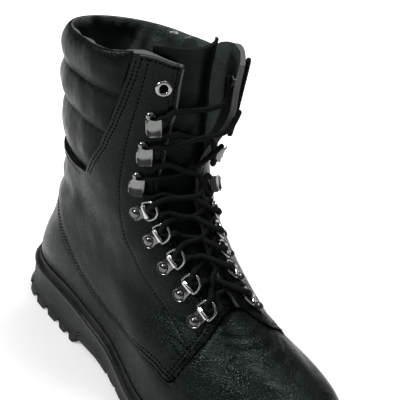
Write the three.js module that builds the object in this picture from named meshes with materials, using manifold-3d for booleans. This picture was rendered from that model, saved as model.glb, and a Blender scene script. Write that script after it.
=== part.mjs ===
// Tactical boot for the right foot, in millimetres. Heel to toe is +X, the inner side +Y, up +Z.
import * as THREE from 'three';
import Module from 'manifold-3d';
import { mergeVertices } from 'three/addons/utils/BufferGeometryUtils.js';

const wasm = await Module();
wasm.setup();

// Upper, sole and lining sizes.
const wall = 2.2;
const quarterStep = 1.0;
const collarDepth = 3.9;
const collarPadding = 3.7;
const partGap = 0.3;
const throatLow = 0.38;
const insoleThick = 3;
const tongueThick = 2.6;
const heelHeight = 38;
const ballDrop = 14;
const toeLift = 9;
const lipOut = 5;
const treadThick = 9;
const archLift = 5;
const lugDepth = 4.5;
const lipDrop = 8;

// Hardware sizes.
const clipRadius = 5;
const barReach = 8.4;
const wire = 0.9;
const ringHalf = 6.2;
const ringReach = 9.8;
const ringLift = 0.08;
const hookWidth = 12;
const hookGap = { '-1': [0.3, 0.3, 0.3], 1: [0.3, 0.8, -0.9] };
const laceRadius = 2.1;

// The part stands with the middle of its box over the origin.
const placeX = -137.4;
const placeY = -1;

// One row per section of the upper, from the featherline to the collar. Back and front are the ends
// of the section, the others are half widths of the outer and the inner side and where they lie.
const columns = ['backX', 'backZ', 'frontX', 'frontZ', 'outHeel', 'outWaist', 'outBall',
  'inHeel', 'inWaist', 'inBall', 'heelAt', 'waistAt', 'ballAt', 'toePower', 'toeSwing'];
const sections = [
  [-15, 38, 291, 28, 33, 36, 54, 33, 27, 47, 0.16, 0.42, 0.68, 2.3, 7],
  [-9, 54, 297, 50, 37, 37, 53, 35, 31, 51, 0.16, 0.42, 0.66, 2.3, 7],
  [-3, 70, 294, 70, 38, 38, 46, 35, 34, 47, 0.17, 0.40, 0.56, 2.1, 6],
  [3, 86, 275, 79, 37, 38, 41, 35, 35, 40, 0.20, 0.38, 0.50, 2.0, 5],
  [7, 102, 243, 87, 36, 36, 37, 34, 35, 36, 0.22, 0.38, 0.50, 2.0, 4],
  [11, 118, 215, 99, 35, 36, 37, 34, 36, 38, 0.26, 0.40, 0.52, 2.0, 3],
  [12, 134, 189, 115, 35, 37, 38, 35, 37, 38, 0.32, 0.42, 0.54, 2.0, 2],
  [12, 152, 166, 134, 38, 40, 40, 38, 40, 40, 0.38, 0.46, 0.54, 2.0, 1],
  [10, 172, 148, 157, 41, 43, 43, 42, 43, 43, 0.42, 0.48, 0.54, 2.0, 0],
  [8, 192, 138, 182, 44, 46, 45, 45, 46, 45, 0.44, 0.49, 0.54, 2.0, 0],
  [6, 211, 134, 206, 46, 48, 47, 47, 48, 47, 0.45, 0.50, 0.55, 2.0, 0],
  [7, 229, 132, 228, 48, 49, 50, 49, 49, 48, 0.45, 0.50, 0.55, 2.0, 0],
  [10, 246, 132, 245, 49, 51, 52, 49, 50, 51, 0.45, 0.50, 0.55, 2.0, 0],
];

// Places on the upper: u runs round a side from the back (0) to the front (1), v from sole to collar.
const throatEdge = [[0.36, 0.865], [0.45, 0.88], [0.53, 0.88], [0.6, 0.862], [0.69, 0.852],
  [0.75, 0.88], [0.81, 0.9], [0.87, 0.915], [1, 0.918]];

// The lacing lies towards the outer side of the instep, so the inner edge and its hardware are nearer
// the front and a little higher.
const innerShift = 0.14;
const innerRise = 0.055;
const collarFront = [[0.6, 0.45], [0.73, 0.606], [0.8, 0.663], [0.87, 0.7], [0.93, 0.725], [1, 0.738]];
const clipPlaces = [[0.79, 0.354], [0.79, 0.425], [0.775, 0.487], [0.756, 0.546], [0.736, 0.606]];
const ringPlaces = [[0.888, 0.425], [0.885, 0.487], [0.863, 0.537], [0.838, 0.588], [0.812, 0.633]];
const hookPlaces = [[0.773, 0.679], [0.806, 0.754], [0.831, 0.829]];
const eyeletPlace = [0.856, 0.921];

// Side views of the overlays, in x and z. The outer quarter's leans across the foot. The inner one ends
// in front on a line given from above, in x and y.
const quarterLean = 0.25;
const quarterSplit = -16;
const quarterView = [[-60, 128], [2, 122], [20, 115], [33, 106], [44, 98], [60, 91], [74, 80], [90, 67],
  [108, 60], [130, 54], [159, 54.5], [184, 58], [200, 58], [213, 54], [216, 74], [214, 92], [203.5, 104.5],
  [208, 115], [260, 140], [260, 300], [-60, 300]];
const innerQuarterView = [[-60, 128], [-8, 122], [10, 115], [23, 106], [34, 98], [50, 91], [64, 80],
  [80, 67], [98, 60], [120, 54], [150, 54], [178, 56], [200, 57], [260, 54], [260, 300], [-60, 300]];
const innerQuarterTop = [[-60, -16], [196, -16], [203, -6], [210, 4.5], [221, 12], [225, 18], [224, 32],
  [214, 58], [214, 90], [-60, 90]];
const collarView = [[-60, 157], [40.6, 153.5], [58, 150.5], [78, 152], [93, 180], [99.5, 197],
  [104.5, 216], [109, 232], [113, 248.5], [114, 300], [-60, 300]];

const clamp = (t, low, high) => Math.min(high, Math.max(low, t));
const ease = (t) => clamp(t, 0, 1) ** 2 * (3 - 2 * clamp(t, 0, 1));

function lookUp(table, t) {
  for (let i = 1; i < table.length; i += 1) {
    const [t0, a] = table[i - 1];
    const [t1, b] = table[i];
    if (t <= t1 || i === table.length - 1) return a + (b - a) * clamp((t - t0) / (t1 - t0), 0, 1);
  }
  return table[0][1];
}

// Top of the sole along the foot: the heel is higher and the toe springs up.
function soleTop(x) {
  const toe = clamp((x - 200) / 91, 0, 2) ** 2;
  return heelHeight - ballDrop * ease((x - 60) / 120) + (toeLift + 1) * toe;
}

// Underside of the sole: flat heel, raised arch, flat forefoot and toe spring.
function soleUnder(x) {
  const arch = ease((x - 84) / 8) * (1 - ease((x - 112) / 16));
  return archLift * arch + toeLift * clamp((x - 214) / 82, 0, 2) ** 2;
}

const treadTop = (x) => soleUnder(x) + treadThick * (1 - 0.3 * ease((x - 90) / 50));

function sectionAt(v) {
  const last = sections.length - 1;
  const s = clamp(v * last, 0, last);
  const i = Math.min(Math.floor(s), last - 1);
  const f = s - i;
  const p1 = sections[i];
  const p2 = sections[i + 1];
  const p0 = sections[i - 1] ?? p1.map((a, k) => 2 * a - p2[k]);
  const p3 = sections[i + 2] ?? p2.map((a, k) => 2 * a - p1[k]);
  const at = {};
  columns.forEach((name, k) => {
    const [a, b, c, d] = [p0[k], p1[k], p2[k], p3[k]];
    at[name] = 0.5 * (2 * b + (c - a) * f + (2 * a - 5 * b + 4 * c - d) * f * f
      + (3 * b - a - 3 * c + d) * f ** 3);
  });
  return at;
}

// Half of a section as a line of points from the back to the front, with the length up to each.
const sampleCount = 120;
const halfLines = new Map();
function halfLine(v, side) {
  const key = `${v} ${side}`;
  if (halfLines.has(key)) return halfLines.get(key);
  const s = sectionAt(v);
  const [heel, waist, ball] = side < 0
    ? [s.outHeel, s.outWaist, s.outBall] : [s.inHeel, s.inWaist, s.inBall];
  const points = [];
  const lengths = [0];
  for (let i = 0; i <= sampleCount; i += 1) {
    const t = (1 - Math.cos(Math.PI * i / sampleCount)) / 2;
    const toWaist = ease((t - s.heelAt) / (s.waistAt - s.heelAt));
    const toBall = ease((t - s.waistAt) / (s.ballAt - s.waistAt));
    const back = (1 - clamp(1 - t / s.heelAt, 0, 1) ** 2) ** 0.5;
    const front = (1 - clamp((t - s.ballAt) / (1 - s.ballAt), 0, 1) ** s.toePower) ** (1 / s.toePower);
    const half = (heel + (waist - heel) * toWaist + (ball - waist) * toBall) * back * front;
    const x = s.backX + (s.frontX - s.backX) * t;
    const straight = sections[0][1] + (sections[0][3] - sections[0][1])
      * clamp((x - sections[0][0]) / (sections[0][2] - sections[0][0]), 0, 1);
    const z = s.backZ + (s.frontZ - s.backZ) * t + (soleTop(x) - straight) * (1 - Math.min(v * 3, 1));
    points.push([x, side * half + s.toeSwing * ease((t - 0.3) / 0.7), z]);
    if (i > 0) lengths.push(lengths[i - 1] + Math.hypot(...points[i].map((c, k) => c - points[i - 1][k])));
  }
  halfLines.set(key, { points, lengths });
  return halfLines.get(key);
}

// A point of the last's surface. q runs from the back (0) over the outer side to the front (1), and on
// over the inner side to the back (2). Past its ends the surface goes straight up or down.
function surface(q, v) {
  const turn = (q + 2) % 2;
  const side = turn <= 1 ? -1 : 1;
  const u = turn <= 1 ? turn : 2 - turn;
  const { points, lengths } = halfLine(clamp(v, 0, 1), side);
  const aim = u * lengths[sampleCount];
  let i = 1;
  while (i < sampleCount && lengths[i] < aim) i += 1;
  const f = (aim - lengths[i - 1]) / (lengths[i] - lengths[i - 1]);
  const [x, y, z] = points[i - 1].map((c, k) => c + (points[i][k] - c) * f);
  const crown = (side < 0 ? 6 : 10) * Math.exp(-(((u - 0.78) / 0.1) ** 2)) * ease((v - 0.86) / 0.14);
  return [x, y, z + crown + 200 * (v - clamp(v, 0, 1))];
}

// The inner flap stands open: above the lowest hook it turns out round a line at the shaft's side.
const flapTurn = 0.38;
const hinge = [92, 46];
function openFlap([x, y, z]) {
  const dx = x - hinge[0];
  const dy = y - hinge[1];
  if (dx <= 0 || y < 0) return [x, y, z];
  const angle = flapTurn * ease((z - 172) / 45) * ease(Math.hypot(dx, dy) / 26);
  return [hinge[0] + dx * Math.cos(angle) - dy * Math.sin(angle),
    hinge[1] + dx * Math.sin(angle) + dy * Math.cos(angle), z];
}

const minus = (a, b) => a.map((c, k) => c - b[k]);
const plus = (a, b, s = 1) => a.map((c, k) => c + b[k] * s);
const cross = (a, b) => [a[1] * b[2] - a[2] * b[1], a[2] * b[0] - a[0] * b[2], a[0] * b[1] - a[1] * b[0]];
const unit = (a) => a.map((c) => c / Math.hypot(...a));

function normalAt(q, v, shape = surface) {
  const along = minus(shape(q + 0.01, v), shape(q - 0.01, v));
  const up = minus(shape(q, clamp(v + 0.01, 0, 1)), shape(q, clamp(v - 0.01, 0, 1)));
  const out = unit(cross(along, up));
  return unit([out[0], out[1], out[2] * ease(clamp(v, 0, 1) / 0.06)]);
}

const offsetPoint = (q, v, depth) => plus(surface(q, v), normalAt(q, clamp(v, 0, 1)), depth);

// A closed solid from vertices and triangles, turned to face out.
function solid(points, triangles) {
  let volume = 0;
  triangles.forEach(([a, b, c]) => {
    volume += points[a].reduce((sum, value, k) => sum + value * cross(points[b], points[c])[k], 0);
  });
  const faces = volume < 0 ? triangles.map(([a, b, c]) => [a, c, b]) : triangles;
  return new wasm.Manifold(new wasm.Mesh({
    numProp: 3, vertProperties: new Float32Array(points.flat()), triVerts: new Uint32Array(faces.flat()),
  }));
}

function solidFrom(geometry, frame) {
  const plain = geometry.clone();
  plain.deleteAttribute('normal');
  plain.deleteAttribute('uv');
  if (frame) plain.applyMatrix4(frame);
  const merged = mergeVertices(plain, 1e-4);
  const place = merged.getAttribute('position');
  const points = [];
  for (let i = 0; i < place.count; i += 1) points.push([place.getX(i), place.getY(i), place.getZ(i)]);
  const triangles = [];
  for (let i = 0; i < merged.index.count; i += 3) {
    const t = [0, 1, 2].map((k) => merged.index.getX(i + k));
    if (new Set(t).size === 3) triangles.push(t);
  }
  return solid(points, triangles);
}

// Rings of points stacked into a solid. Its two ends are ladders between the outer and inner side.
function loft(rings) {
  const m = rings[0].length;
  const triangles = [];
  const quad = (a, b, c, d) => triangles.push([a, b, c], [a, c, d]);
  for (let j = 0; j + 1 < rings.length; j += 1) {
    for (let i = 0; i < m; i += 1) {
      const k = (i + 1) % m;
      quad(j * m + i, j * m + k, (j + 1) * m + k, (j + 1) * m + i);
    }
  }
  [0, (rings.length - 1) * m].forEach((base, top) => {
    const cap = (a, b, c) => triangles.push(top ? [base + a, base + b, base + c] : [base + a, base + c, base + b]);
    cap(0, 1, m - 1);
    for (let i = 1; i + 1 < m / 2; i += 1) {
      cap(i, i + 1, m - i - 1);
      cap(i, m - i - 1, m - i);
    }
    cap(m / 2 - 1, m / 2, m / 2 + 1);
  });
  return solid(rings.flat(), triangles);
}

const sideSteps = [0, 0.03, 0.08, 0.15, 0.24, 0.35, 0.46, 0.57, 0.67, 0.75, 0.815, 0.87, 0.915, 0.96, 1];
const ringSteps = [...sideSteps, ...sideSteps.slice(1, -1).reverse().map((u) => 2 - u)];
const rowSteps = [0, 0.055, 0.11, 0.165, 0.22, 0.28, 0.34, 0.4, 0.46, 0.52, 0.58, 0.65, 0.71, 0.755, 0.8,
  0.88, 0.95, 1];

// A form of the last moved out by a depth, which may be a function of q and v.
function form(depth, rows) {
  return loft(rows.map((v) => ringSteps.map((q) => (
    offsetPoint(q, v, typeof depth === 'function' ? depth(q, v) : depth)))));
}

// A curved plate on the last between two depths, over q from one table value to another.
function plate(rows, steps, low, high) {
  const n = steps.length;
  const points = [];
  rows.forEach((v) => steps.forEach((s) => points.push(high(s, v))));
  rows.forEach((v) => steps.forEach((s) => points.push(low(s, v))));
  const half = rows.length * n;
  const triangles = [];
  const quad = (a, b, c, d) => triangles.push([a, b, c], [a, c, d]);
  for (let j = 0; j + 1 < rows.length; j += 1) {
    for (let i = 0; i + 1 < n; i += 1) {
      const a = j * n + i;
      quad(a, a + 1, a + n + 1, a + n);
      quad(half + a, half + a + n, half + a + n + 1, half + a + 1);
    }
    quad(j * n, (j + 1) * n, half + (j + 1) * n, half + j * n);
    quad(j * n + n - 1, half + j * n + n - 1, half + (j + 1) * n + n - 1, (j + 1) * n + n - 1);
  }
  for (let i = 0; i + 1 < n; i += 1) {
    const top = (rows.length - 1) * n;
    quad(i, half + i, half + i + 1, i + 1);
    quad(top + i, top + i + 1, half + top + i + 1, half + top + i);
  }
  return solid(points, triangles);
}

// A side view pushed across the whole foot, leaning forward to the inner side.
function acrossFoot(view, lean, grow = 0) {
  const reach = 120;
  const outline = view.map(([x, z]) => new THREE.Vector2(x, z));
  const geometry = new THREE.ExtrudeGeometry(new THREE.Shape(outline), { depth: 2 * reach, bevelEnabled: false });
  const frame = new THREE.Matrix4().set(
    1, 0, lean, -lean * reach - grow,
    0, 0, 1, -reach,
    0, 1, 0, grow,
    0, 0, 0, 1,
  );
  return solidFrom(geometry, frame);
}

// An outline seen from above, pushed straight up.
function upright(view) {
  const outline = new THREE.Shape(view.map(([x, y]) => new THREE.Vector2(x, y)));
  return solidFrom(new THREE.ExtrudeGeometry(outline, { depth: 300, bevelEnabled: false }));
}

// A box given by its middle and sizes, turned about the upright axis.
function block(middle, size, turn = 0) {
  const frame = new THREE.Matrix4().makeRotationZ(turn).setPosition(...middle);
  return solidFrom(new THREE.BoxGeometry(...size), frame);
}

// Depth of the lining under the outer surface: thicker where the collar's padding is let in.
function liningDepth(q, v) {
  const u = q <= 1 ? q : 2 - q;
  const front = 1 - ease((u - lookUp(collarFront, v) - 0.02) / 0.09);
  return wall + collarPadding * ease((v - 0.52) / 0.07) * front;
}

const group = new THREE.Group();
const leather = { color: 0x1b1d1e, roughness: 0.42, metalness: 0 };
const rubber = { color: 0x2a2c2d, roughness: 0.75, metalness: 0 };
const nickel = { color: 0x8d8f8d, roughness: 0.3, metalness: 1 };
const lining = { color: 0x202223, roughness: 0.9, metalness: 0 };
const cord = { color: 0x121314, roughness: 0.85, metalness: 0 };

function addPart(name, body, look, bend = (p) => p) {
  const mesh = body.getMesh();
  const places = new Float32Array(mesh.numVert * 3);
  for (let i = 0; i < mesh.numVert; i += 1) {
    const at = [0, 1, 2].map((k) => mesh.vertProperties[i * mesh.numProp + k]);
    const [x, y, z] = bend(at);
    places.set([x + placeX, y + placeY, z], i * 3);
  }
  const geometry = new THREE.BufferGeometry();
  geometry.setAttribute('position', new THREE.BufferAttribute(places, 3));
  geometry.setIndex(new THREE.BufferAttribute(new Uint32Array(mesh.triVerts), 1));
  geometry.computeVertexNormals();
  const part = new THREE.Mesh(geometry, new THREE.MeshStandardMaterial(look));
  part.name = name;
  group.add(part);
}

// Upper: the last's form and the raised quarter, with the collar's recess, the inside, the throat and
// the eyelet holes cut out.
const shiftAt = (v) => innerShift * (1 - ease((v - 0.64) / 0.2));
const riseAt = (v) => innerRise * (1 - ease((v - 0.4) / 0.24));
const above = [...rowSteps, 1.05];
const below = [-0.04, ...rowSteps, 1.05];
const lastForm = form(0, rowSteps);
const outerHalf = block([100, quarterSplit - 150, 150], [400, 300, 400]);
const quarterCut = acrossFoot(quarterView, quarterLean).intersect(outerHalf)
  .add(acrossFoot(innerQuarterView, 0).intersect(upright(innerQuarterTop)).subtract(outerHalf));
const quarter = form(quarterStep, rowSteps).intersect(quarterCut);
const collarFloor = form(-collarDepth, above);
const collarRecess = acrossFoot(collarView, 0).subtract(collarFloor);
const inside = form((q, v) => -liningDepth(q, v), below);
const throatRows = [throatLow, 0.415, 0.46, 0.52, 0.58, 0.65, 0.7, 0.755, 0.81, 0.88, 0.95, 1, 1.05];
const throatSteps = [-1, 0, 1];
function throatPoint(s, v, depth) {
  const half = 1 - lookUp(throatEdge, v);
  return offsetPoint(1 + s * half - shiftAt(v) * (s + 1) / 2, v + riseAt(v) * (s + 1) / 2, depth);
}
const throat = plate(throatRows, throatSteps, (s, v) => throatPoint(s, v, -9), (s, v) => throatPoint(s, v, 7));

// A frame on the upper: out of the leather, across towards the throat, and along the lacing.
const placed = (q, v) => openFlap(surface(q, v));
function seat(q, v, aim, height, shape = placed) {
  const at = shape(q, v);
  const out = normalAt(q, v, shape);
  const toward = minus(aim, at);
  const lift = toward.reduce((sum, c, k) => sum + c * out[k], 0);
  const across = unit(plus(toward, out, -lift));
  const along = cross(out, across);
  const origin = plus(at, out, height);
  return new THREE.Matrix4().makeBasis(new THREE.Vector3(...across), new THREE.Vector3(...along),
    new THREE.Vector3(...out)).setPosition(...origin);
}

const sideQ = (u, v, side) => (side < 0 ? u : 2 - u - shiftAt(v));
const sideV = (v, side) => (side < 0 ? v : v + riseAt(v));
const sides = [['outer', -1], ['inner', 1]];

function ringOf(profile, segments, frame) {
  const outline = profile.map(([r, h]) => new THREE.Vector2(r, h));
  const raise = new THREE.Matrix4().makeRotationX(Math.PI / 2);
  return solidFrom(new THREE.LatheGeometry(outline, segments), frame.clone().multiply(raise));
}

let upperBody = lastForm.add(quarter).subtract(collarRecess).subtract(inside).subtract(throat);
sides.forEach(([, side]) => {
  const [u, v] = eyeletPlace;
  const frame = seat(sideQ(u, v, side), v, surface(1, v), 0, surface);
  const hole = ringOf([[0, -9], [3.9, -9], [3.9, 7], [0, 7]], 12, frame);
  upperBody = upperBody.subtract(hole);
});
addPart('upper', upperBody, leather, openFlap);

// Padded collar: three rolls let into the shaft's recess.
const rollEdges = [0.565, 0.765, 0.875, 1];
function rollDepth(q, v) {
  const i = v < rollEdges[1] ? 0 : v < rollEdges[2] ? 1 : 2;
  const t = clamp((v - rollEdges[i]) / (rollEdges[i + 1] - rollEdges[i]), 0, 1);
  const u = q <= 1 ? q : 2 - q;
  const fade = ease((lookUp(collarFront, v) + 0.015 - u) / 0.12);
  return -2.3 + 3.1 * Math.sqrt(Math.max(0, Math.sin(Math.PI * t))) * (0.25 + 0.75 * fade);
}
const rollRows = [0.565, 0.59, 0.64, 0.71, 0.745, 0.765, 0.785, 0.82, 0.855, 0.875, 0.895, 0.935, 0.975, 1];
const collarBody = form(rollDepth, rollRows).intersect(acrossFoot(collarView, 0, partGap))
  .subtract(form(-collarDepth + partGap, [...rowSteps, 1.05]));
addPart('padded_collar', collarBody, leather, openFlap);

// Tongue: a padded plate behind the lacing that stands above the collar.
const tongueRows = [0.375, 0.4, 0.46, 0.52, 0.58, 0.65, 0.71, 0.755, 0.8, 0.88, 0.95, 1];
const tongueSteps = [-1, -0.72, -0.45, -0.2, 0, 0.2, 0.45, 0.72, 1];
const tongueQ = (s, v) => 1 + s * (0.17 + 0.03 * ease((v - 0.4) / 0.2));
function tonguePoint(s, v, depth) {
  const q = tongueQ(s, v);
  const at = offsetPoint(q, v, -liningDepth(q, v) - depth - 1.6 * ease((v - 0.84) / 0.06));
  const rise = (4.5 - 7 * s * s) * ease((v - 0.8) / 0.2);
  return [at[0] - 0.25 * rise, at[1], at[2] + rise - (surface(q, v)[2] - surface(q, v - 1e-6)[2])];
}
const tongueBody = plate(tongueRows, tongueSteps,
  (s, v) => tonguePoint(s, v, 0.7 + tongueThick * (1 - 0.3 * s * s)), (s, v) => tonguePoint(s, v, 0.7));
addPart('tongue', tongueBody, leather);

// Sole pieces: rings of the featherline moved out, each at its own height.
function layer(out, height) {
  return ringSteps.map((q) => {
    const far = typeof out === 'function' ? out(surface(q, 0)[0]) : out;
    const [x, y] = offsetPoint(q, 0, far);
    return [x, y, height(x)];
  });
}

const midsoleBody = loft([
  layer(lipOut - 1.4, (x) => treadTop(x) + partGap),
  layer(lipOut - 0.5, (x) => treadTop(x) + 1.3),
  layer(lipOut - 0.7, (x) => soleTop(x) - lipDrop - 2),
  layer(lipOut, (x) => soleTop(x) - lipDrop - 0.7),
  layer(lipOut - 0.3, (x) => soleTop(x) - lipDrop),
  layer(lipOut - 1.2, (x) => soleTop(x) - lipDrop),
  layer(2.2, (x) => soleTop(x) - lipDrop - 0.8),
  layer(1, (x) => soleTop(x) - lipDrop + 1),
  layer(0.5, (x) => soleTop(x) - partGap),
]);
addPart('midsole', midsoleBody, rubber);

const insoleBody = loft([
  layer(-wall - 0.8, (x) => soleTop(x) + 0.05),
  layer(-wall - 1.8, (x) => soleTop(x) + insoleThick - 1),
  layer(-wall - 2.8, (x) => soleTop(x) + insoleThick),
]);
addPart('insole', insoleBody, lining);

// Grooves across the tread leave the lugs, and two long channels part the middle from the edges.
const heelEnd = 88;
const heelGrooves = [2, 21, 41, 60, 76];
const soleGrooves = [132, 147, 162, 177, 192, 207, 222, 237, 252, 267];
const grooveWidth = 5;
const channelWidth = 4;

function groove(x, width) {
  const low = soleUnder(x) - 20;
  const high = soleUnder(x) + lugDepth;
  const view = [[x - width, low], [x + width, low], [x + width * 0.25, high], [x - width * 0.25, high]];
  return acrossFoot(view, 0);
}

const underOut = (x) => 2.6 + 2 * (1 - ease((x - 112) / 16)) + 2.8 * (1 - ease((x - 84) / 8));
const tread = loft([
  layer((x) => underOut(x) - 1, soleUnder),
  layer(underOut, (x) => soleUnder(x) + 1.2),
  layer(lipOut - 0.6, (x) => treadTop(x) - 1),
  layer(lipOut - 1.4, treadTop),
]);
let heelBody = tread.intersect(block([heelEnd - 100, 0, 0], [200, 240, 60]));
heelGrooves.forEach((x) => {
  heelBody = heelBody.subtract(groove(x, grooveWidth));
});
heelBody = heelBody.subtract(block([40, 0, 0], [60, channelWidth, 2 * lugDepth]));
addPart('heel', heelBody, rubber);

let outsoleBody = tread.intersect(block([heelEnd + partGap + 150, 0, 0], [300, 240, 60]));
soleGrooves.forEach((x) => {
  outsoleBody = outsoleBody.subtract(groove(x, grooveWidth * 0.8));
});
[-16, 22].forEach((y) => {
  outsoleBody = outsoleBody.subtract(block([178, y, 0], [104, channelWidth, 2 * lugDepth], 0.05));
});
addPart('outsole', outsoleBody, rubber);

// Wire bent into a closed loop.
function wireLoop(path, radius, turns, frame) {
  const count = path.length;
  const points = [];
  path.forEach((p, i) => {
    const along = unit(minus(path[(i + 1) % count], path[(i + count - 1) % count]));
    const side = cross(along, [0, 0, 1]);
    for (let k = 0; k < turns; k += 1) {
      const angle = 2 * Math.PI * (k + 0.5) / turns;
      points.push(plus(plus(p, side, radius * Math.cos(angle)), [0, 0, 1], radius * Math.sin(angle)));
    }
  });
  const triangles = [];
  for (let i = 0; i < count; i += 1) {
    for (let k = 0; k < turns; k += 1) {
      const a = i * turns + k;
      const b = i * turns + (k + 1) % turns;
      const c = ((i + 1) % count) * turns + (k + 1) % turns;
      const d = ((i + 1) % count) * turns + k;
      triangles.push([a, b, c], [a, c, d]);
    }
  }
  const set = points.map((p) => new THREE.Vector3(...p).applyMatrix4(frame).toArray());
  return solid(set, triangles);
}

// The D, in its own plane: a straight bar and a round bow.
const bow = [[0.83, 0], [1, 0.12], [1, 0.36], [0.87, 0.7], [0.52, 0.93]];
const dPath = [[0, 0, 0], ...bow.map(([a, b]) => [b * ringReach, a * ringHalf, 0]),
  [ringReach, 0, 0], ...bow.slice().reverse().map(([a, b]) => [b * ringReach, -a * ringHalf, 0])];

function roundLine(radius, corners) {
  return Array.from({ length: corners }, (_, i) => new THREE.Vector2(
    radius * Math.cos(2 * Math.PI * (i + 0.5) / corners), radius * Math.sin(2 * Math.PI * (i + 0.5) / corners)));
}

const sleeveInner = wire + 0.35;
const sleeveOuter = sleeveInner + 0.7;
const clipThick = 0.8;

function clipBody(frame) {
  const disc = ringOf([[0, 0], [clipRadius, 0], [clipRadius, clipThick], [3.3, clipThick], [2.3, 2.4],
    [0, 2.9]], 8, frame);
  const strap = solidFrom(new THREE.BoxGeometry(barReach - 2, 8.2, clipThick),
    frame.clone().multiply(new THREE.Matrix4().makeTranslation(barReach / 2, 0, clipThick / 2)));
  const circle = new THREE.Shape(roundLine(sleeveOuter, 6));
  circle.holes.push(new THREE.Path(roundLine(sleeveInner, 6).reverse()));
  const sleeve = new THREE.ExtrudeGeometry(circle, { depth: 9, bevelEnabled: false });
  const turn = new THREE.Matrix4().makeRotationX(Math.PI / 2).setPosition(barReach, 4.5, sleeveOuter);
  return disc.add(strap).add(solidFrom(sleeve, frame.clone().multiply(turn)));
}

const onQuarter = quarterStep + 0.6;
const ringFrames = { '-1': [], 1: [] };
sides.forEach(([name, side]) => {
  clipPlaces.forEach(([u, v], i) => {
    const [ringU, ringV] = ringPlaces[i];
    const aim = placed(sideQ(ringU, ringV, side), sideV(ringV, side));
    const frame = seat(sideQ(u, v, side), sideV(v, side), aim, onQuarter);
    addPart(`clip_${name}_${i + 1}`, clipBody(frame), nickel);
    const lift = new THREE.Matrix4().makeRotationY(-ringLift).setPosition(barReach, 0, sleeveOuter);
    const ringFrame = frame.clone().multiply(lift);
    ringFrames[side].push(ringFrame);
    addPart(`ring_${name}_${i + 1}`, wireLoop(dPath, wire, 4, ringFrame), nickel);
  });
});

// Speed hook: a riveted foot that curls up at the throat side and runs back over the lace.
const hookView = [[-4.5, 0], [4.2, 0], [5.9, 1], [6.6, 3.4], [5.9, 5.8], [4.2, 6.8], [-2.6, 6.8], [-4, 7.6],
  [-4.4, 7], [-2.9, 5.9], [3.8, 5.9], [5.1, 5.2], [5.6, 3.4], [5.1, 1.7], [3.8, 0.9], [-4.5, 0.9]];
function hookBody(frame) {
  const shape = new THREE.Shape(hookView.map(([a, b]) => new THREE.Vector2(a, b)));
  const geometry = new THREE.ExtrudeGeometry(shape, { depth: hookWidth, bevelEnabled: false });
  const turn = new THREE.Matrix4().makeRotationX(Math.PI / 2).setPosition(0, hookWidth / 2, 0);
  return solidFrom(geometry, frame.clone().multiply(turn));
}
sides.forEach(([name, side]) => {
  hookPlaces.forEach(([u, v], i) => {
    const aim = placed(sideQ(throatEdge.at(-1)[1], v, side), v + 0.01);
    const frame = seat(sideQ(u, v, side), sideV(v, side), aim, onQuarter + hookGap[side][i]);
    addPart(`hook_${name}_${i + 1}`, hookBody(frame), nickel);
  });
});

// Eyelet: a barrel through the wall with a rolled flange outside and a washer inside.
sides.forEach(([name, side]) => {
  const [u, v] = eyeletPlace;
  const frame = seat(sideQ(u, v, side), v, placed(1, v), 0);
  const profile = [[2.8, -3.9], [5, -3.9], [5, -3.2], [3.3, -3.1], [3.3, 1.4], [5.4, 1.5], [4.6, 2.6],
    [2.8, 2.2], [2.8, -3.9]];
  addPart(`eyelet_${name}`, ringOf(profile, 12, frame), nickel);
});

// Laces: each crossing is two strands joined in the middle. Each strand follows the instep.
function strand(from, to, lift) {
  const steps = 6;
  const line = [];
  for (let i = 0; i <= steps; i += 1) {
    const t = i / steps;
    const q = from[0] + (to[0] - from[0]) * t;
    const v = from[1] + (to[1] - from[1]) * t;
    const rise = from[2] + (to[2] - from[2]) * t - lift * Math.sin(Math.PI * t);
    const at = plus(surface(q, v), normalAt(q, v), rise);
    const shift = minus(openFlap(at), at);
    line.push(new THREE.Vector3(...plus(at, shift, ease((q - 1) / 0.1))));
  }
  const curve = new THREE.CatmullRomCurve3(line);
  const section = new THREE.Shape(roundLine(laceRadius, 5));
  return solidFrom(new THREE.ExtrudeGeometry(section, { steps: 5, extrudePath: curve, bevelEnabled: false }));
}

const laceEnds = [[0.902, 0.436, 5], [0.898, 0.5, 5], [0.875, 0.553, 5], [0.862, 0.606, 5], [0.844, 0.652, 5],
  [0.83, 0.69, 5], [0.86, 0.765, 5.5], [0.88, 0.838, 5.5]];
const laceAt = (level, side) => {
  const [u, v, rise] = laceEnds[level];
  return [sideQ(u, v, side), sideV(v, side), rise];
};
addPart('lace_bar', strand(laceAt(0, -1), laceAt(0, 1), 2.5), cord);
for (let level = 0; level + 1 < laceEnds.length; level += 1) {
  const raised = (side, k) => {
    const [q, v, rise] = laceAt(level + k, side);
    return [q, v + (k ? -0.014 : 0.014), rise];
  };
  const crossing = strand(raised(-1, 0), raised(1, 1), 2.5).add(strand(raised(1, 0), raised(-1, 1), 2.5));
  addPart(`lace_cross_${level + 1}`, crossing, cord);
}

export default group;
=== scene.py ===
import math

import bmesh
import bpy
import numpy as np
from mathutils import Matrix, Vector


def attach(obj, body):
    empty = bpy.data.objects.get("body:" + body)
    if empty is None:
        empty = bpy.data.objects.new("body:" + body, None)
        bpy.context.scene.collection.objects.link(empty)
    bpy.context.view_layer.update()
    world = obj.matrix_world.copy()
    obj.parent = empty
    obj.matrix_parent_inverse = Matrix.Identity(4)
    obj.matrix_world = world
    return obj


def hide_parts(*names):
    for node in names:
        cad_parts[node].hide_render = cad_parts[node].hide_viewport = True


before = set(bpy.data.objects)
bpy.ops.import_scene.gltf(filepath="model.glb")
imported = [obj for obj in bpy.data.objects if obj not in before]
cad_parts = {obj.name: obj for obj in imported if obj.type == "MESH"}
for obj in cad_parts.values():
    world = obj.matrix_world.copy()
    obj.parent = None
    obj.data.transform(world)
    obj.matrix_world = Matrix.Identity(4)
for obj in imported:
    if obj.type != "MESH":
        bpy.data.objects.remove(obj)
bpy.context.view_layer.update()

scene = bpy.context.scene

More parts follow.
